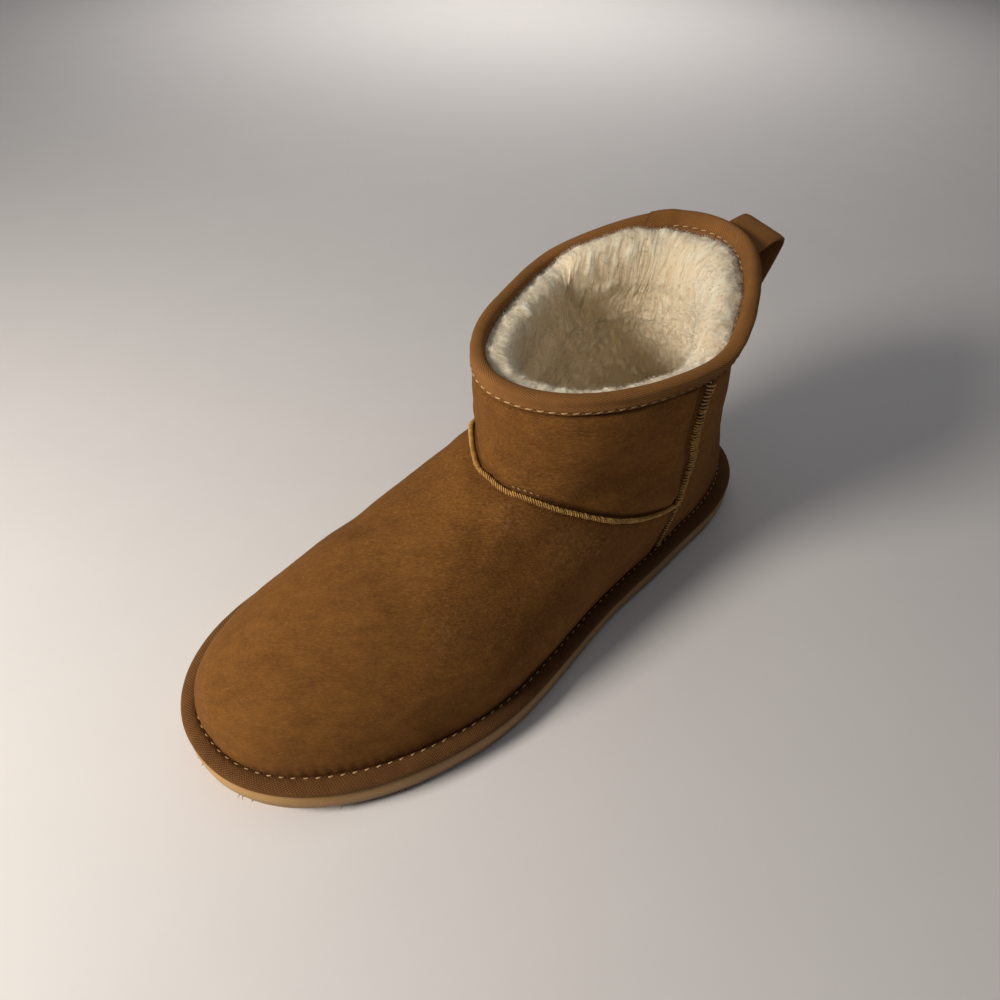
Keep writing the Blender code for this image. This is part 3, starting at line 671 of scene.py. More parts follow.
class Finish:
    """A material, with short calls that add nodes to it and join them."""

    def __init__(self, name, roughness, specular=0.3, sheen=0.0, sheen_tint=(255, 255, 255)):
        self.material = bpy.data.materials.new(name)
        self.material.use_nodes = True
        self.tree = self.material.node_tree
        self.shader = self.tree.nodes["Principled BSDF"]
        self.feed(self.shader, {
            "Roughness": roughness, "Specular IOR Level": specular, "Sheen Weight": sheen,
            "Sheen Roughness": 0.55, "Sheen Tint": (*linear(sheen_tint), 1.0)})

    def feed(self, node, inputs):
        """Set a node's inputs to numbers, or join them to the outputs of others."""
        for key, value in inputs.items():
            if isinstance(value, bpy.types.NodeSocket):
                self.tree.links.new(value, node.inputs[key])
            else:
                node.inputs[key].default_value = value

    def node(self, kind, inputs, output, **settings):
        """The output of a new node with these settings and inputs."""
        node = self.tree.nodes.new(kind)
        for key, value in settings.items():
            setattr(node, key, value)
        self.feed(node, inputs)
        return node.outputs[output]

    def texture(self, place, detail, roughness):
        """Noise of 0 to 1 at a place, with features of about one unit."""
        return self.node("ShaderNodeTexNoise", {
            "Vector": place, "Scale": 1.0, "Detail": detail, "Roughness": roughness}, "Fac")

    def noise(self, size, detail=3.0, roughness=0.5, stretch=(1.0, 1.0, 1.0), turn=0.0):
        """Noise of 0 to 1 with features of a size in millimetres, turned about the vertical."""
        place = self.node("ShaderNodeTexCoord", {}, "Object")
        place = self.node("ShaderNodeVectorRotate", {"Vector": place, "Angle": turn}, "Vector",
                          rotation_type="Z_AXIS")
        scale = [1.0 / (size * MM * part) for part in stretch]
        place = self.node("ShaderNodeMapping", {"Vector": place, "Scale": scale}, "Vector")
        return self.texture(place, detail, roughness)

    def strands(self, size, long):
        """Noise of 0 to 1 in streaks down the pile, a size across and long times that."""
        around, down = self.weave()
        place = self.node("ShaderNodeCombineXYZ", {
            "X": self.math("DIVIDE", around, size),
            "Y": self.math("DIVIDE", down, size * long)}, "Vector")
        return self.texture(place, 3.0, 0.6)

    def math(self, operation, first, second=0.0):
        """One sum on two numbers."""
        return self.node("ShaderNodeMath", {0: first, 1: second}, "Value", operation=operation)

    def times(self, first, second):
        """Product of two numbers."""
        return self.math("MULTIPLY", first, second)

    def blend(self, *parts):
        """Values added up, each with its weight."""
        total = None
        for value, weight in reversed(parts):
            value = self.times(value, weight)
            total = value if total is None else self.math("ADD", value, total)
        return total

    def span(self, value, low, high, to_low=0.0, to_high=1.0):
        """A value's span from low to high, carried to another span."""
        return self.node("ShaderNodeMapRange", {
            "Value": value, "From Min": low, "From Max": high,
            "To Min": to_low, "To Max": to_high}, "Result")

    def mix(self, share, first, second):
        """One colour or the other, by share."""
        first, second = ((*linear(colour), 1.0) if isinstance(colour, tuple) else colour
                         for colour in (first, second))
        return self.node("ShaderNodeMix", {0: share, 6: first, 7: second}, 2, data_type="RGBA")

    def value(self, name):
        """A number stored on the mesh's points."""
        return self.node("ShaderNodeAttribute", {}, "Fac", attribute_name=name)

    def weave(self):
        """Texture places on the mesh, in millimetres, along and across the tape."""
        places = self.node("ShaderNodeUVMap", {}, "UV", uv_map="weave")
        return [self.node("ShaderNodeSeparateXYZ", {"Vector": places}, axis) for axis in "XY"]

    def waves(self, along, across, pitch, slant):
        """Ribs of 0 to 1, a pitch apart in millimetres, turned by slant from the tape's length."""
        turned = self.blend((along, math.sin(slant)), (across, math.cos(slant)))
        wave = self.math("SINE", self.times(turned, TURN / pitch))
        return self.math("ADD", self.times(wave, 0.5), 0.5)

    def bump(self, height, depth, strength=1.0, under=None):
        """Relief of a depth in millimetres, over another one if it is given."""
        inputs = {"Strength": strength, "Distance": depth * MM, "Height": height}
        if under is not None:
            inputs["Normal"] = under
        return self.node("ShaderNodeBump", inputs, "Normal")

    def done(self, colour, normal=None, roughness=None):
        """The material, with these joined to its shader."""
        inputs = {"Base Color": colour, "Normal": normal, "Roughness": roughness}
        self.feed(self.shader, {key: value for key, value in inputs.items() if value is not None})
        return self.material


def suede_finish():
    """Brushed suede: fine nap combed across the foot, soft mottling, paler rubbed patches with a
    painted highlight, and painted shade in the troughs.
    """
    finish = Finish("suede", 0.95, specular=0.06, sheen=0.12, sheen_tint=(190, 140, 96))
    rough = finish.value("nap")
    mottle = finish.noise(26.0, 4.0, 0.6)
    stroke = finish.noise(4.0, 4.0, 0.65, stretch=(1.8, 0.9, 0.8), turn=NAP_TURN)
    nap = finish.noise(0.45, 3.0, 0.75, stretch=(3.6, 1.1, 0.8), turn=NAP_TURN)
    combed = finish.times(finish.math("SUBTRACT", nap, 0.5), rough)
    tone = finish.blend((mottle, 0.34), (stroke, 0.36), (combed, 0.80))
    colour = finish.mix(finish.span(tone, 0.10, 0.56), SUEDE_DARK, SUEDE_LIGHT)
    fleck = finish.noise(0.9, 2.0, 0.6, stretch=(2.6, 1.0, 0.8), turn=NAP_TURN)
    fleck = finish.times(finish.span(fleck, 0.54, 0.78), rough)
    colour = finish.mix(finish.times(fleck, 0.30), colour, SUEDE_FLECK)
    # Paler patches: rubbed nap, and a painted highlight on the ridge beside the vamp seam.
    recoloured = finish.span(finish.noise(1.6, 4.0, 0.75), 0.48, 0.66)
    recoloured = finish.times(recoloured, finish.value("rub_and_highlight"))
    colour = finish.mix(recoloured, colour, SUEDE_RUB_AND_HIGHLIGHT)
    # Painted shade in the seams' troughs, the creases and the tucks.
    colour = finish.mix(finish.value("shade"), colour, SUEDE_SHADE)
    normal = finish.bump(stroke, 0.35, 0.25)
    return finish.done(colour, finish.bump(nap, 0.16, 0.8, under=normal))


def fleece_finish(name, combed):
    """Sheepskin pile: cream tips over warmer, darker roots, in streaks where it is combed; the
    darker roots are partly painted shade deep in the pile.
    """
    finish = Finish(name, 1.0, specular=0.04, sheen=0.12, sheen_tint=(255, 244, 222))
    fibre = finish.strands(0.5, 9.0) if combed else finish.noise(0.55, 3.0, 0.65)
    patch = finish.noise(12.0, 3.0, 0.6)
    share = finish.blend((finish.value("tip"), 0.75), (fibre, 0.50), (patch, 0.30))
    colour = finish.mix(finish.span(share, 0.25, 1.05), FLEECE_SHADED_ROOT, FLEECE_TIP)
    finish.feed(finish.shader, {"Subsurface Weight": 0.5, "Subsurface Scale": 0.0025,
                                "Subsurface Radius": (1.0, 0.92, 0.8)})
    return finish.done(colour, finish.bump(fibre, 0.35, 0.8))


def twill_finish(name, slant, pitch, dark, light):
    """Woven tape with slanting ribs and a fine cross thread."""
    finish = Finish(name, 0.85, specular=0.15, sheen=0.06, sheen_tint=(230, 180, 120))
    along, across = finish.weave()
    slant = math.radians(slant)
    ribs = finish.waves(along, across, pitch, slant)
    threads = finish.waves(along, across, pitch * 0.8, slant + math.radians(80.0))
    height = finish.times(ribs, finish.span(threads, 0.0, 1.0, 0.35, 1.0))
    patch = finish.noise(9.0, 3.0, 0.6)
    fibre = finish.noise(0.5, 2.0, 0.6)
    # Colour follows the ribs' height: painted shade in their valleys, over the tape's own patchy
    # colour.
    share = finish.blend((height, 0.55), (patch, 0.35), (fibre, 0.25))
    colour = finish.mix(finish.span(share, 0.15, 1.0), dark, light)
    # Painted shade from the mesh's shade values.
    colour = finish.mix(finish.value("shade"), colour, SUEDE_SHADE)
    normal = finish.bump(height, 0.16, 0.9)
    return finish.done(colour, finish.bump(fibre, 0.1, 0.6, under=normal))


def gum_finish():
    """Gum rubber: even tan, faintly grained, with dust, and darkened by the mesh's shade values.
    """
    finish = Finish("gum_rubber", 0.55, specular=0.35)
    grain = finish.noise(0.8, 3.0, 0.6)
    cloudy = finish.noise(18.0, 3.0, 0.55, stretch=(1.5, 1.5, 0.5))
    dust = finish.span(finish.noise(2.2, 4.0, 0.7), 0.62, 0.75)
    share = finish.blend((cloudy, 0.7), (grain, 0.3))
    colour = finish.mix(finish.span(share, 0.3, 0.7), GUM_DARK, GUM_LIGHT)
    colour = finish.mix(finish.times(dust, 0.25), colour, GUM_DUST)
    colour = finish.mix(finish.value("shade"), colour, GUM_SHADE)
    roughness = finish.span(cloudy, 0.3, 0.7, 0.48, 0.66)
    return finish.done(colour, finish.bump(grain, 0.08, 0.6), roughness)


def thread_finish(name, light, dark):
    """Twisted thread: ply marks and uneven colour."""
    finish = Finish(name, 0.6, specular=0.3, sheen=0.3, sheen_tint=(255, 220, 160))
    ply = finish.noise(0.6, 3.0, 0.7)
    patch = finish.noise(4.0, 3.0, 0.65)
    share = finish.blend((ply, 0.6), (patch, 0.5))
    colour = finish.mix(finish.span(share, 0.38, 0.72), dark, light)
    # Painted shade from the mesh's shade values: in the seam ridges' gaps and on the binding's
    # stitches.
    colour = finish.mix(finish.value("shade"), colour, SUEDE_SHADE)
    return finish.done(colour, finish.bump(ply, 0.12, 0.8))


SUEDE = suede_finish()
FLEECE = fleece_finish("fleece", True)
PILE = fleece_finish("fleece_pile", False)
BINDING_TWILL = twill_finish("binding_twill", 28.0, 0.75, BINDING_DARK, BINDING_LIGHT)
WELT_TWILL = twill_finish("welt_twill", 48.0, 0.85, WELT_DARK, WELT_LIGHT)
GUM = gum_finish()
GOLD_THREAD = thread_finish("gold_thread", THREAD_LIGHT, THREAD_DARK)
PALE_THREAD = thread_finish("pale_thread", CREAM_LIGHT, CREAM_DARK)
SUEDE_EDGE = thread_finish("suede_edge", EDGE_LIGHT, EDGE_DARK)
STRAP_TWILL = twill_finish("strap_twill", 84.0, 0.9, BINDING_DARK, BINDING_LIGHT)


# ---------------------------------------------------------------- seams

def side_seam_path(side):
    """Places of a side seam from the welt up to the binding: around, rise."""
    rise = np.linspace(0.035, BINDING_FOOT - 0.004, 160)
    return side_place(rise, side_seam_x(rise), side), rise


def vamp_seam_path():
    """Places of the vamp seam from the outer side seam over the instep to the inner one."""
    ends = []
    for toe, side in ((0.0, 0.36), (1.0, 0.64)):
        around = np.linspace(toe, side, 1400)
        rise = vamp_seam_rise(around)
        ahead = suede_face(around, rise)[:, 0] > side_seam_x(rise)
        ends.append(around[ahead][np.abs(around[ahead] - toe).argmax()])
    around = np.linspace(ends[0], ends[1] - 1.0, 400)
    return around, vamp_seam_rise(np.mod(around, 1.0))


VAMP_SEAM = vamp_seam_path()
SIDE_SEAMS = {side: side_seam_path(side) for side in ("outer", "inner")}


def instep(around):
    """1 at the instep's middle, falling off to both sides."""
    return bell(np.mod(around + 0.5, 1.0) - 0.5, 0.075)


def beside(gap, first, waves):
    """Height of the soft waves beside a seam, of the first one where first is true."""
    one, two = (height * bell(gap - at, wide) for height, at, wide in waves)
    return np.where(first, one, two)


def seam_troughs(around, rise, points):
    """How far the suede sinks beside the seams, and how much painted shade darkens it there, at
    points.
    """
    gap = path_distance(points, suede_face(*VAMP_SEAM)[::5])
    above = rise > vamp_seam_rise(around)
    sink = beside(gap, above, VAMP_SINK)
    sink += INSTEP_TUCK * instep(around) * bell(gap, 4.0)
    sink -= beside(gap, above, VAMP_SWELL) * (1.0 - instep(around))
    shade = beside(gap, above, VAMP_PAINTED_SHADE)
    ahead = points[:, 0] > side_seam_x(rise)
    for side, (seam_around, seam_rise) in SIDE_SEAMS.items():
        gap = path_distance(points, suede_face(seam_around, seam_rise)[::6])
        near = (np.mod(around, 1.0) < 0.5) == (side == "outer")
        sink += near * beside(gap, ahead, SIDE_SINK)
        sink -= near * beside(gap, ahead, SIDE_SWELL)
        shade += near * beside(gap, ahead, SIDE_PAINTED_SHADE)
    return sink, shade


def seam_line(seam, spacing):
    """Evenly spaced points on the suede along a seam, with around and rise as two columns more."""
    around, rise = seam
    return even(np.column_stack([suede_face(around, rise), around, rise]), spacing)


def seam_frame(seam, spacing, lift, tuck):
    """Distance run, points a lift above a seam, and the ways along, across and out there."""
    line = seam_line(seam, spacing)
    around, rise = line[:, 3], line[:, 4]
    normal = outward(around, rise)
    centre = suede_face(around, rise) + normal * (lift - tuck * instep(around))[:, None]
    tangent = heading(centre)
    return lengths(line[:, :3]), centre, tangent, unit(np.cross(tangent, normal)), normal


def ridge(seam, lift, half, high, tuck=0.0):
    """Rolled suede edge that a seam's thread covers, as a soft tube of an oval section."""
    _, centre, _, across, normal = seam_frame(seam, 0.8, lift, tuck)
    sides = 12
    cosines, sines = circle(sides)
    uneven = (1.0 + 0.10 * cloud(centre, 3.0))[:, None, None]
    points = (centre[:, None] + half * uneven * cosines * across[:, None]
              + high * uneven * sines * normal[:, None])
    return points.reshape(-1, 3), [face[::-1] for face in tube_faces(len(centre), sides)]


def overlock(seam, lift, half, high, pitch, thread, slant, tuck=0.0):
    """Thread wound over a seam's ridge in uneven, slanting turns."""
    run, centre, tangent, across, normal = seam_frame(seam, pitch / 12.0, lift, tuck)
    angle = TURN * (run / pitch + 0.30 * cloud(centre, 3.0))
    loose = 1.0 + 0.22 * cloud(centre, 0.9)
    path = (centre + (np.sin(angle) * half * loose)[:, None] * across
            + (np.cos(angle) * high * loose)[:, None] * normal
            + (np.sin(angle) * slant)[:, None] * tangent)
    return tube(path, thread * (1.0 + 0.30 * cloud(centre, 1.3)), 5)


def make_ticks():
    """Row of short stitches above the vamp seam, hidden in the nap but for one stretch."""
    row = seam_line(VAMP_SEAM, TICK_PITCH)
    around = row[:, 3]
    normal = outward(around, row[:, 4])
    tangent = heading(row[:, :3])
    above = unit(np.cross(normal, tangent))
    above *= np.where(above[:, 2:] < 0.0, -1.0, 1.0)
    deep = 1.3 - 0.95 * bell(around - TICKS_AT, TICKS_WIDE) + INSTEP_TUCK * instep(around)
    places = row[:, :3] + above * TICKS_ABOVE - normal * deep[:, None]
    ticks = stitches(places, tangent + above * 0.2, normal, length=1.6, radius=0.18, proud=0.25)
    make_piece("vamp_seam_ticks", ticks, PALE_THREAD)


def make_seams():
    """Vamp seam and side seams: a rolled edge under overlocking thread, and a row of ticks."""
    edge = ridge(VAMP_SEAM, lift=0.30, half=0.72, high=0.70, tuck=INSTEP_TUCK)
    # The ridge is darkened with painted shade, so the gaps between the thread's turns read dark.
    make_piece("vamp_seam_edge", edge, SUEDE_EDGE, values={"shade": 0.40},
               nodes=("vamp_seam",))
    thread = overlock(VAMP_SEAM, lift=0.44, half=0.76, high=0.66, pitch=0.96, thread=0.27,
                      slant=0.45, tuck=INSTEP_TUCK)
    make_piece("vamp_seam_thread", thread, GOLD_THREAD)
    make_ticks()
    for side, (around, rise) in SIDE_SEAMS.items():
        crossing = vamp_seam_rise(around)
        above, below = rise >= crossing - 0.01, rise <= crossing + 0.01
        on_shaft, on_foot = ((around[part], rise[part]) for part in (above, below))
        turn = 1.0 if side == "outer" else -1.0
        edge = joined([ridge(on_shaft, lift=0.15, half=1.65, high=0.70),
                       ridge(on_foot, lift=0.3, half=1.0, high=0.75)])
        # The ridge is darkened with painted shade, so the gaps between the thread's turns read
        # dark.
        make_piece("side_seam_edge_" + side, edge, SUEDE_EDGE, values={"shade": 0.80},
                   nodes=("side_seam_" + side,))
        thread = joined([overlock(on_shaft, lift=0.42, half=1.95, high=0.92, pitch=1.60,
                                  thread=0.36, slant=-0.95 * turn),
                         overlock(on_foot, lift=0.28, half=0.95, high=0.75, pitch=1.35,
                                  thread=0.25, slant=-0.4 * turn)])
        make_piece("side_seam_thread_" + side, thread, GOLD_THREAD)


# ---------------------------------------------------------------- upper

def welt_tucks(around, rise):
    """How far the welt's stitches draw the suede in at its foot, a tuck at each stitch."""
    marks = np.linspace(0.0, 1.0, 901)
    run = lengths(suede_face(marks, STITCHED_RISE))
    phase = np.interp(np.mod(around, 1.0), marks, run) / run[-1]
    phase = phase * round(run[-1] / WELT_PITCH) * TURN
    return 0.15 * np.cos(phase) * bell(rise - 0.045, 0.03)


def add_creases(points, sink, shade):
    """Sink the suede in its creases, and darken them there with painted shade."""
    t = np.linspace(0.0, 1.0, 10)
    for row in CREASES:
        crease = dict(zip(CREASE_COLUMNS, row))
        line = suede_face(
            crease["around_from"] + (crease["around_to"] - crease["around_from"]) * t,
            crease["rise_from"] + (crease["rise_to"] - crease["rise_from"]) * t)
        trough = bell(path_distance(points, line), crease["half_width"])
        sink += crease["depth"] * trough
        shade += 0.10 * max(crease["depth"], 0.0) * trough


def make_suede():
    """The suede shell: vamp, shaft and heel panels, sunk at the seams, with its creases."""
    cols = 560
    around = np.arange(cols) / cols
    face_rises = np.concatenate([
        np.linspace(0.0, 0.10, 12)[:-1], np.linspace(0.10, 0.955, 98),
        (0.960, 0.9635, 0.966, 0.970, 0.980),
    ])
    lining_rises = (0.980, 0.962, 0.93, 0.86, 0.76, 0.66, 0.56, 0.46, 0.34, 0.22, 0.10, 0.0)
    rise, place = np.meshgrid(face_rises, around, indexing="ij")
    points = suede_face(place, rise).reshape(-1, 3)
    places, rises = place.ravel(), rise.ravel()
    sink, shade = seam_troughs(places, rises, points)
    add_creases(points, sink, shade)
    rub_and_highlight = np.zeros(len(points))
    for at, level, wide, strength in RUBS_AND_HIGHLIGHTS:
        rub_and_highlight += strength * bell(np.linalg.norm(points - suede_face(at, level), axis=1), wide)
    on_shaft = smooth((rises - vamp_seam_rise(places)) / 0.02)
    nap = 0.65 + 0.65 * smooth((235.0 - points[:, 0]) / 80.0)
    nap = nap + (1.25 - nap) * on_shaft
    sink -= 0.45 * cloud(points, 30.0) + 0.10 * cloud(points, 6.0)
    sink += welt_tucks(places, rises)
    # The hem thins towards the binding, the foot closes on the welt, and the top is tucked in.
    foot = smooth(1.0 - rises / 0.05)
    sink += 0.55 * smooth((rises - 0.940) / 0.022)
    sink = sink * (1.0 - foot) + 0.15 * foot * smooth(rises / 0.012)
    # Painted shade where the suede tucks under the binding and in the groove at the welt.
    shade += 0.55 * smooth((rises - 0.955) / 0.010) + 0.30 * smooth(1.0 - rises / 0.022)
    pressed = BINDING_THICK - BINDING_PROUD + GAP
    tucked = smooth((rises - 0.960) / 0.006)
    sink = sink * (1.0 - tucked) + (pressed + 0.2) * tucked
    outer = skin(places, rises, sink)
    rise, place = np.meshgrid(lining_rises, around, indexing="ij")
    inner = skin(place, rise, np.where(rise > 0.97, RIM_WALL - 0.3, 3.6)).reshape(-1, 3)
    faces = grid_faces(len(face_rises) + len(lining_rises), cols, loop_rows=True)
    unseen = np.zeros(len(inner))
    make_piece("suede_upper", (np.vstack([outer, inner]), faces), SUEDE,
               values={"shade": np.concatenate([np.clip(shade, 0.0, 1.0), unseen]),
                       "rub_and_highlight": np.concatenate([rub_and_highlight, unseen]),
                       "nap": np.concatenate([nap, unseen + 1.0])}, nodes=("upper",))


def make_pile(name, grid, count, length, spread, rooted, tip_low):
    """Spikes of pile on a grid of points whose rows run round the foot.

    Each spike is a thin closed pyramid whose root sits in the surface.
    """
    following = np.roll(grid, -1, axis=1)
    along = following[:-1] - grid[:-1]
    down = grid[1:] - grid[:-1]
    normal = np.cross(along, down)
    area = np.linalg.norm(normal, axis=-1)
    picks = random.choice(area.size, size=count, p=area.ravel() / area.sum())
    i, j = np.unravel_index(picks, area.shape)
    f, g = random.random(count)[:, None], random.random(count)[:, None]
    root = grid[i, j] + along[i, j] * f + down[i, j] * g
    out = unit(normal[i, j])
    drift = wander(root, 5.5, (0.0, 91.0, 173.0))
    lean = out + spread * 1.5 * drift + spread * 0.45 * random.normal(size=(count, 3))
    lean[:, 2] += PILE_LIFT
    lean = unit(lean)
    size = length * (0.65 + 0.7 * random.random(count))[:, None]
    side = unit(np.cross(lean, random.normal(size=(count, 3))))
    other = np.cross(lean, side)
    base = root - out * rooted
    thick = FIBRE_THICK * (0.8 + 0.6 * random.random(count))[:, None]
    shape = spikes(base + side * thick,
                   base - side * thick * 0.5 + other * thick * 0.87,
                   base - side * thick * 0.5 - other * thick * 0.87,
                   root + lean * size)
    # Darker at the root than at the tip: warmer roots, and partly painted shade deep in the pile.
    tip = np.tile((tip_low, tip_low, tip_low, 1.0), count)
    make_piece(name, shape, PILE, values={"tip": tip})


def fleece_layer(name, first, last, rows, cols, back_rows, comb):
    """A closed band of the lining between two shares of its face, combed into soft locks."""
    around = np.arange(cols) / cols
    low, high = through(FLEECE_FACE, 600), through(FLEECE_ROLL, 600)
    run = lengths((low + high) / 2.0 * (RISE_LENGTH, 1.0))
    share = np.linspace(first, last, rows) * run[-1]
    rises, depths, high_rises, high_depths = (
        np.interp(share, run, column)[:, None] for column in (*low.T, *high.T))
    place = np.broadcast_to(around, (rows, cols))
    swollen = 1.0 - bell(place - ROLL_DIP, ROLL_DIP_WIDE)
    swollen *= 1.0 - 0.6 * bell(place - ROLL_LOW_AT, ROLL_LOW_WIDE)
    pressed = PRESSED * bell(place - PRESSED_AT, PRESSED_WIDE) * bell(share, 14.0)[:, None]
    rise = np.maximum(rises + (high_rises - rises) * swollen - pressed, 0.0)
    grid = skin(place, rise, depths + (high_depths - depths) * swollen)
    along = np.roll(grid, -1, axis=1) - np.roll(grid, 1, axis=1)
    out = unit(np.cross(along, np.gradient(grid, axis=0)))
    ring = girth(grid[rows // 2])
    radius = ring[-1] / TURN
    flow = np.stack([radius * np.cos(TURN * place), radius * np.sin(TURN * place),
                     np.broadcast_to(share[:, None], place.shape)], axis=-1)
    warp = wander(grid, 8.0, (0.0, 57.0, 131.0))
    locks = lumps(flow * (1.0, 1.0, comb) + warp * 2.4, LOCK_SIZE)
    strands = cloud(flow * (1.0, 1.0, 0.28) + warp * 0.8, STRAND_SIZE)
    swell = LOCK_HIGH * locks + STRAND_HIGH * strands + cloud(grid, CLUMP_SIZE) - 0.3
    edge = smooth((share / run[-1] - 0.006) / 0.012)
    raised = grid + out * (swell * edge[:, None])[..., None]
    back_rise, back_around = np.meshgrid(
        np.linspace(rises[-1, 0], min(rises[0, 0], FLEECE_BACK_TOP), back_rows), around,
        indexing="ij")
    back_depth = FLEECE_BACK_DEPTH - 1.1 * smooth((back_rise - 0.9) / 0.04)
    back = skin(back_around, back_rise, back_depth)
    # Lighter on the locks' crests and darkest on the hidden back: partly painted shade between the
    # locks.
    tip = np.clip(0.35 + 0.35 * locks + 0.30 * strands, 0.0, 1.0)
    drop = np.concatenate([share, share[-1] + 1.0 + np.arange(back_rows + 1)])
    shape = np.vstack([raised, back]), grid_faces(rows + back_rows, cols, loop_rows=True)
    make_piece(name, shape, FLEECE, uv=grid_uv(ring, drop),
               values={"tip": np.vstack([tip, np.zeros((back_rows, cols))])})
    return raised


def make_fleece():
    """The sheepskin's pile inside: combed locks, and loose fibres over them and at the edge."""
    grid = fleece_layer("fleece_collar", 0.0, 0.30, rows=92, cols=900, back_rows=8, comb=0.55)
    make_pile("fleece_fringe", grid[1:12], 6000, length=1.7, spread=0.45, rooted=0.3,
              tip_low=0.8)
    make_pile("fleece_fibres", grid[8:], 14000, length=1.3, spread=0.6, rooted=0.2, tip_low=0.8)
    grid = fleece_layer("fleece_lining", 0.295, 1.0, rows=120, cols=560, back_rows=20, comb=0.8)
    make_pile("fleece_fibres_deep", grid[:70], 14000, length=2.2, spread=0.7, rooted=0.2,
              tip_low=0.55)


def make_insole():
    """Fleece insole: a clumped bed between the walls, in the pile's finish."""
    rows, cols = 60, 151
    around = np.linspace(0.0, 0.5, cols)
    outer, inner = (skin(place, INSOLE_RISE, WALL - 0.6) for place in (around, 1.0 - around))
    share = np.linspace(0.0, 1.0, rows)[:, None]
    bed = outer * (1.0 - share[..., None]) + inner * share[..., None]
    dish = np.sin(math.pi * share) * np.sin(math.pi * np.linspace(0.0, 1.0, cols))
    swell = lumps(bed, 8.0) + 0.5 * cloud(bed, 3.0)
    edge = smooth(np.minimum(share, 1.0 - share) / 0.05)
    bed[..., 2] += 1.1 - 1.9 * dish + 1.5 * (swell - 0.4) * edge
    under = bed.copy()
    under[..., 2] = SOLE_THICK + GAP + 0.8 + spring(under[..., 0])
    top = grid_faces(rows, cols, loop_cols=False)
    rim = np.concatenate([
        np.arange(cols), np.arange(1, rows) * cols + cols - 1,
        (rows - 1) * cols + np.arange(cols - 2, -1, -1), np.arange(rows - 2, 0, -1) * cols])
    following = np.roll(rim, -1)
    wall = np.stack([following, rim, rim + rows * cols, following + rows * cols], -1)
    faces = np.concatenate([top, top[:, ::-1] + rows * cols, wall])
    # Lighter on the bed's swells, dark underneath: partly painted shade between the swells.
    tip = np.stack([np.clip(0.3 + 0.3 * swell, 0.0, 0.8), np.zeros((rows, cols))])
    make_piece("fleece_insole", (np.stack([bed, under]), faces), PILE,
               values={"tip": tip}, nodes=("insole",))


def make_binding():
    """Twill tape folded over the rim, stitched down inside and out."""
    cols = 720
    around = np.arange(cols) / cols
    front = through(BINDING_FOLD, 44)
    fold = np.vstack([front, BINDING_BACK])
    level, lay = fold[:, 0][:, None], fold[:, 1][:, None]
    seen = (np.arange(len(fold)) < len(front))[:, None]
    outside = lay < BINDING_MIDDLE
    rise, place = np.meshgrid(fold[:, 0], around, indexing="ij")
    lap = smooth((OVERLAP_AT - place) / 0.0015)
    lap *= smooth((place - OVERLAP_AT + OVERLAP_LONG) / 0.025)
    thicker = OVERLAP_THICK * lap * seen
    depth = np.where(outside, lay - thicker, lay + thicker)
    depth = depth + 0.16 * cloud(skin(place, rise, depth), 9.0) * seen
    points = skin(place, rise, depth)
    points[..., 2] += thicker * 0.6 * smooth((rise - 0.992) / 0.010)
    # Painted shade along the stitch rows, under the outer leaf's lower edge and at the step where
    # the end laps over.
    shade = 0.5 * bell(level - BINDING_STITCH_RISE, 0.0012) * outside
    shade = shade + 0.45 * bell(level - BINDING_STITCH_INSIDE, 0.0018) * ~outside
    shade = shade + 0.5 * bell(level - BINDING_EDGE_RISE, 0.0012) * outside
    shade = shade + 0.5 * bell(place - OVERLAP_AT, 0.002)
    make_piece("binding_tape", (points, grid_faces(len(fold), cols, loop_rows=True)),
               BINDING_TWILL, uv=tape_uv(points, 12),
               values={"shade": np.clip(shade, 0.0, 1.0)}, nodes=("collar_binding",))
    ring = np.linspace(0.0, 1.0, 900)
    rows, recoloured = [], []
    for at, deep, way, shaded in BINDING_ROWS:
        row, marks = stitch_ring(
            skin(ring, at, deep), ring, lambda place: outward(place, at) * way,
            BINDING_PITCH, length=BINDING_PITCH * 0.70, radius=0.25, proud=0.22)
        rows.append(row)
        # The outer row is darkened with painted shade from the outer front round to the heel.
        shaded = shaded * (smooth((marks - 0.09) / 0.04) * smooth((0.47 - marks) / 0.04))
        recoloured.append(np.repeat(shaded, len(row[0]) // len(marks)))
    make_piece("binding_stitches", joined(rows), PALE_THREAD,
               values={"shade": np.concatenate(recoloured)})


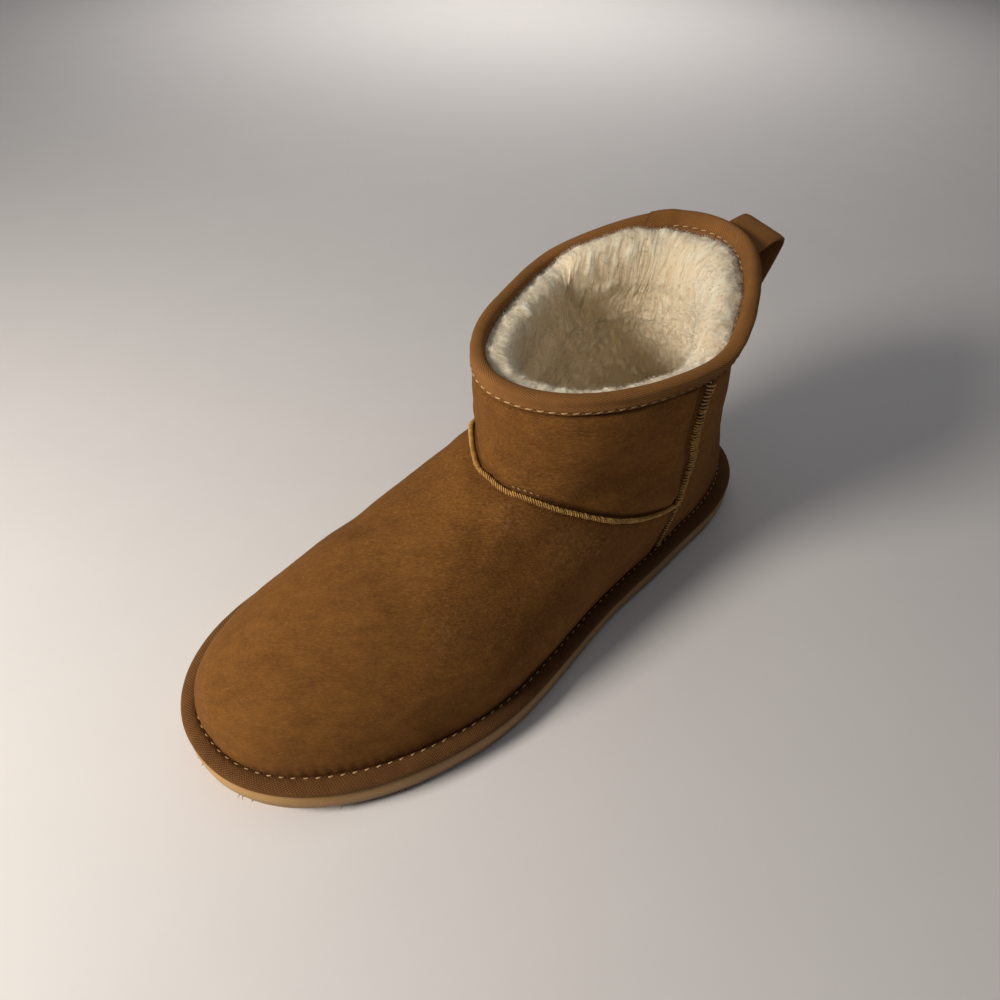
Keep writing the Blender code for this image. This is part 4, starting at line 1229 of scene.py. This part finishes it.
def make_pull_loop():
    """Twill strap sewn at the collar's back and lower down on the shaft."""
    across = 10
    offsets = STRAP_WIDTH * (np.linspace(0.0, 1.0, across + 1) - 0.5)
    on_binding = -(BINDING_PROUD + GAP + STRAP_THICK / 2.0)
    on_shaft = -(GAP + STRAP_THICK / 2.0)

    def sewn(rise, depth):
        return skin(back_place(STRAP_Y + offsets, rise), rise, depth)

    rows = [sewn(rise, on_binding - off) for rise, off in STRAP_ON_BINDING]
    rows += [np.column_stack([np.full(across + 1, x), STRAP_Y + offsets,
                              z + STRAP_TILT * offsets]) for x, z in STRAP_FREE]
    rows += [sewn(rise, on_shaft - off) for rise, off in STRAP_ON_SHAFT]
    control = np.array(rows)
    middle = np.stack([through(control[:, k], 96) for k in range(across + 1)], axis=1)
    down = heading(middle)
    sideways = unit(np.gradient(middle, axis=1))
    normal = unit(np.cross(sideways, down))
    half = STRAP_THICK / 2.0 * np.where(np.abs(np.linspace(-1, 1, across + 1)) > 0.95, 0.55, 1.0)
    half = (half + 0.06 * cloud(middle, 2.5))[..., None]
    face = middle + normal * half
    ring = np.concatenate([face, (middle - normal * half)[:, ::-1]], axis=1)
    count, sides = ring.shape[:2]
    uv = grid_uv(girth(ring[10]), lengths(middle[:, across // 2]))[:, ::-1]
    shade = np.zeros((count, sides))
    # Painted shade on the end sewn against the binding.
    shade[:8] = 0.25
    make_piece("pull_strap", (ring, tube_faces(count, sides)), STRAP_TWILL,
               uv=np.vstack([uv, np.zeros((2 * sides, 2))]), values={"shade": shade},
               nodes=("pull_loop",), sharp=50.0)
    marks = []
    for row in STRAP_STITCHED:
        line = even(face[row, 1:-1], 2.6)
        tangent = heading(line)
        out = np.repeat(normal[row, across // 2][None], len(line), axis=0)
        marks.append(stitches(line, tangent, out, length=1.8, radius=0.3, proud=0.25))
    make_piece("pull_strap_stitches", joined(marks), PALE_THREAD)


# ---------------------------------------------------------------- welt tape and sole

def make_welt_tape():
    """Twill-covered welt on the outsole's rim, with the stitch row along its inner edge."""
    cols = 900
    around = np.arange(cols) / cols
    foot, top = skin(around, 0.0, -0.1), skin(around, STITCHED_RISE, -0.1)
    edge = sole_edge(around, 0.0)
    floor = SOLE_THICK + GAP + spring(edge[:, 0])
    fold = through(TAPE_FOLD, 30)
    share, lift = fold[:, 0][:, None], fold[:, 1][:, None]
    inward = np.where(lift > 1.0, 1.0, 0.0) * smooth(1.0 - share / 0.3)
    start = foot * (1.0 - inward[..., None]) + top * inward[..., None]
    plan = start[..., :2] * (1.0 - share[..., None]) + edge[None] * share[..., None]
    points = np.dstack([plan, foot[:, 2] * (1.0 - share) + floor * share + lift])
    points[..., 2] += 0.14 * cloud(points, 7.0) * smooth(lift / 2.0)
    # Painted shade in the groove at the tape's inner edge, and on the outer side.
    shade = np.maximum(0.5 * bell(share - 0.06, 0.09) * (lift > 1.2),
                       OUTER_PAINTED_SHADE * bell(around - 0.29, 0.16))
    make_piece("welt_tape_twill", (points, grid_faces(len(fold), cols, loop_rows=True)[:, ::-1]),
               WELT_TWILL, uv=tape_uv(points, 18), values={"shade": shade},
               nodes=("welt_tape",))
    ring = np.linspace(0.0, 1.0, 1400)
    row = skin(ring, STITCHED_RISE, -0.7)
    row[:, 2] = skin(ring, 0.0, 0.0)[:, 2] + 2.95
    shape, _ = stitch_ring(
        row, ring, lambda place: unit((0.0, 0.0, 1.0) + 0.6 * outward(place, STITCHED_RISE)),
        WELT_PITCH, length=2.1, radius=0.26, proud=0.26)
    make_piece("welt_stitches", shape, PALE_THREAD)


def underside(x):
    """Height of the outsole's lower face: flat at heel and forefoot, raised under the arch."""
    arch = np.sin(math.pi * np.clip((x - ARCH_FROM) / (ARCH_TO - ARCH_FROM), 0.0, 1.0))
    return spring(x) + ARCH_LIFT * arch**2


def on_side(plan, share):
    """Points above plan points at a share of the outsole's height."""
    low, high = underside(plan[:, 0]), SOLE_THICK + spring(plan[:, 0])
    return np.column_stack([plan, low + (high - low) * share])


def make_outsole():
    """Gum outsole: a slightly swelled, faintly uneven edge and tread grooves."""
    cols = 720
    around = np.arange(cols) / cols
    side = np.array([on_side(sole_edge(around, inset), share) for inset, share in SOLE_SIDE])
    wobble = 0.10 * cloud(side, 5.0, octaves=3)
    out = unit(sole_edge(around, -1.0) - sole_edge(around, 0.0))
    side[1:-1, :, :2] += out * wobble[1:-1, :, None]
    # The lower and the upper face span from side to side, in strips of width faces.
    point_rows = [side.reshape(-1, 3)]
    faces = grid_faces(len(side), cols).tolist()
    count = len(side) * cols
    for ring, width in ((0, 56), (len(side) - 1, 1)):
        strips = []
        for j in range(cols // 2 + 1):
            other = (cols - j) % cols
            if j == other:
                strips.append([ring * cols + j] * (width + 1))
                continue
            share = (np.arange(1, width) / width)[:, None]
            point_rows.append(side[ring, j] * (1.0 - share) + side[ring, other] * share)
            between = range(count, count + width - 1)
            count += width - 1
            strips.append([ring * cols + j, *between, ring * cols + other])
        for strip, following in zip(strips, strips[1:]):
            for k in range(width):
                corners = (strip[k], strip[k + 1], following[k + 1], following[k])
                corners = tuple(dict.fromkeys(corners))
                if len(corners) > 2:
                    faces.append(corners if ring else corners[::-1])
    points = np.vstack(point_rows)
    low_side = len(side) * cols
    x, y = points[low_side:, 0], points[low_side:, 1]
    outer, inner = (half_width(x / SOLE_LENGTH, SOLE, name) - GROOVE_MARGIN
                    for name in ("out", "in"))
    within = smooth(outer - y + 0.5) * smooth(y + inner + 0.5)
    near = np.abs(x[:, None] - np.array(GROOVES)).min(axis=1)
    points[low_side:, 2] += GROOVE_DEPTH * smooth(GROOVE_WIDTH / 2.0 + 0.5 - near) * within
    # Painted shade on the outsole's side: darker towards its lower edge where it curves under,
    # along its top under the welt, and at the outer side.
    shares = np.array(SOLE_SIDE)[:, 1][:, None]
    painted_shade = (0.75 * np.maximum(0.0, 1.0 - shares / 0.6) ** 1.3
            + 0.5 * np.maximum(0.0, (shares - 0.9) / 0.1)
            + OUTER_PAINTED_SHADE * bell(around - 0.27, 0.20))
    shade = np.zeros(len(points))
    shade[:low_side] = np.minimum(painted_shade, 1.0).ravel()
    make_piece("gum_outsole", (points, faces), GUM, values={"shade": shade},
               nodes=("outsole",))


def make_burrs():
    """Small ragged bits left on the outsole's lower arris at the toe."""
    count = 34
    around = np.mod(random.uniform(-0.20, 0.24, count), 1.0)
    share = random.uniform(0.05, 0.16, count)
    insets, shares = zip(*SOLE_SIDE)
    edge = sole_edge(around, 0.0)
    out = unit(sole_edge(around, -1.0) - edge)
    root = on_side(edge - out * (np.interp(share, shares, insets) + 0.35)[:, None], share)
    lean = out + 0.5 * random.normal(size=(count, 2))
    lean = np.column_stack([lean, random.uniform(-0.3, 0.2, count)])
    side = unit(np.cross(lean, (0.0, 0.0, 1.0)))
    thick = random.uniform(0.16, 0.34, count)[:, None]
    tip = root + unit(lean) * random.uniform(1.0, 2.0, count)[:, None]
    shape = spikes(root + side * thick, root - side * thick, root - (0.0, 0.0, 0.3), tip)
    make_piece("outsole_burrs", shape, GUM, values={"shade": 0.7})


# ---------------------------------------------------------------- floor, light and camera

def make_floor():
    """Plain pale floor."""
    finish = Finish("pale_floor", 0.6, specular=0.2)
    speck = finish.noise(40.0, 4.0, 0.6)
    base = tuple(part - 2 for part in FLOOR_COLOUR)
    material = finish.done(finish.mix(finish.span(speck, 0.3, 0.7), base, FLOOR_COLOUR))
    mesh = bpy.data.meshes.new("floor")
    signs = ((-1, -1), (1, -1), (1, 1), (-1, 1))
    mesh.from_pydata([(FLOOR_REACH * x, FLOOR_REACH * y, 0.0) for x, y in signs], [],
                     [(0, 1, 2, 3)])
    mesh.materials.append(material)
    floor = bpy.data.objects.new("floor", mesh)
    bpy.context.scene.collection.objects.link(floor)


def make_light(name, place, aim, size, power, colour, spread=180.0):
    """A soft area light that points at a place."""
    data = bpy.data.lights.new(name, "AREA")
    data.shape = "DISK"
    data.size = size
    data.energy = power
    data.color = linear(colour)
    data.spread = math.radians(spread)
    light = bpy.data.objects.new(name, data)
    light.location = place
    light.rotation_euler = (Vector(aim) - Vector(place)).to_track_quat("-Z", "Y").to_euler()
    bpy.context.scene.collection.objects.link(light)


def make_camera():
    """The photo's camera, fitted to the boot's outlines."""
    yaw, pitch, roll = CAMERA_YAW, CAMERA_PITCH, CAMERA_ROLL
    ahead = Vector((math.cos(yaw) * math.cos(pitch), math.sin(yaw) * math.cos(pitch),
                    -math.sin(pitch)))
    level = ahead.cross(Vector((0.0, 0.0, 1.0))).normalized()
    upright = level.cross(ahead)
    right = level * math.cos(roll) + upright * math.sin(roll)
    up = upright * math.cos(roll) - level * math.sin(roll)
    data = bpy.data.cameras.new("camera")
    data.lens = CAMERA_LENS
    data.sensor_width = 36.0
    data.clip_start = 0.01
    camera = bpy.data.objects.new("camera", data)
    place = Vector(CAMERA_PLACE) - Vector(CENTRE) * MM
    turn = Matrix((right, up, -ahead)).transposed()
    camera.matrix_world = Matrix.Translation(place) @ turn.to_4x4()
    bpy.context.scene.collection.objects.link(camera)
    bpy.context.scene.camera = camera


def make_sky():
    """Even pale light from all around."""
    world = bpy.data.worlds.new("studio")
    world.use_nodes = True
    background = world.node_tree.nodes["Background"]
    background.inputs["Color"].default_value = (*linear(SKY_COLOUR), 1.0)
    background.inputs["Strength"].default_value = SKY_STRENGTH
    bpy.context.scene.world = world


make_suede()
make_seams()
make_fleece()
make_insole()
make_binding()
make_pull_loop()
make_welt_tape()
make_outsole()
make_burrs()
make_floor()
for light_name, settings in LIGHTS.items():
    make_light(light_name, **settings)
make_sky()
make_camera()
bpy.context.scene.view_settings.view_transform = "Standard"
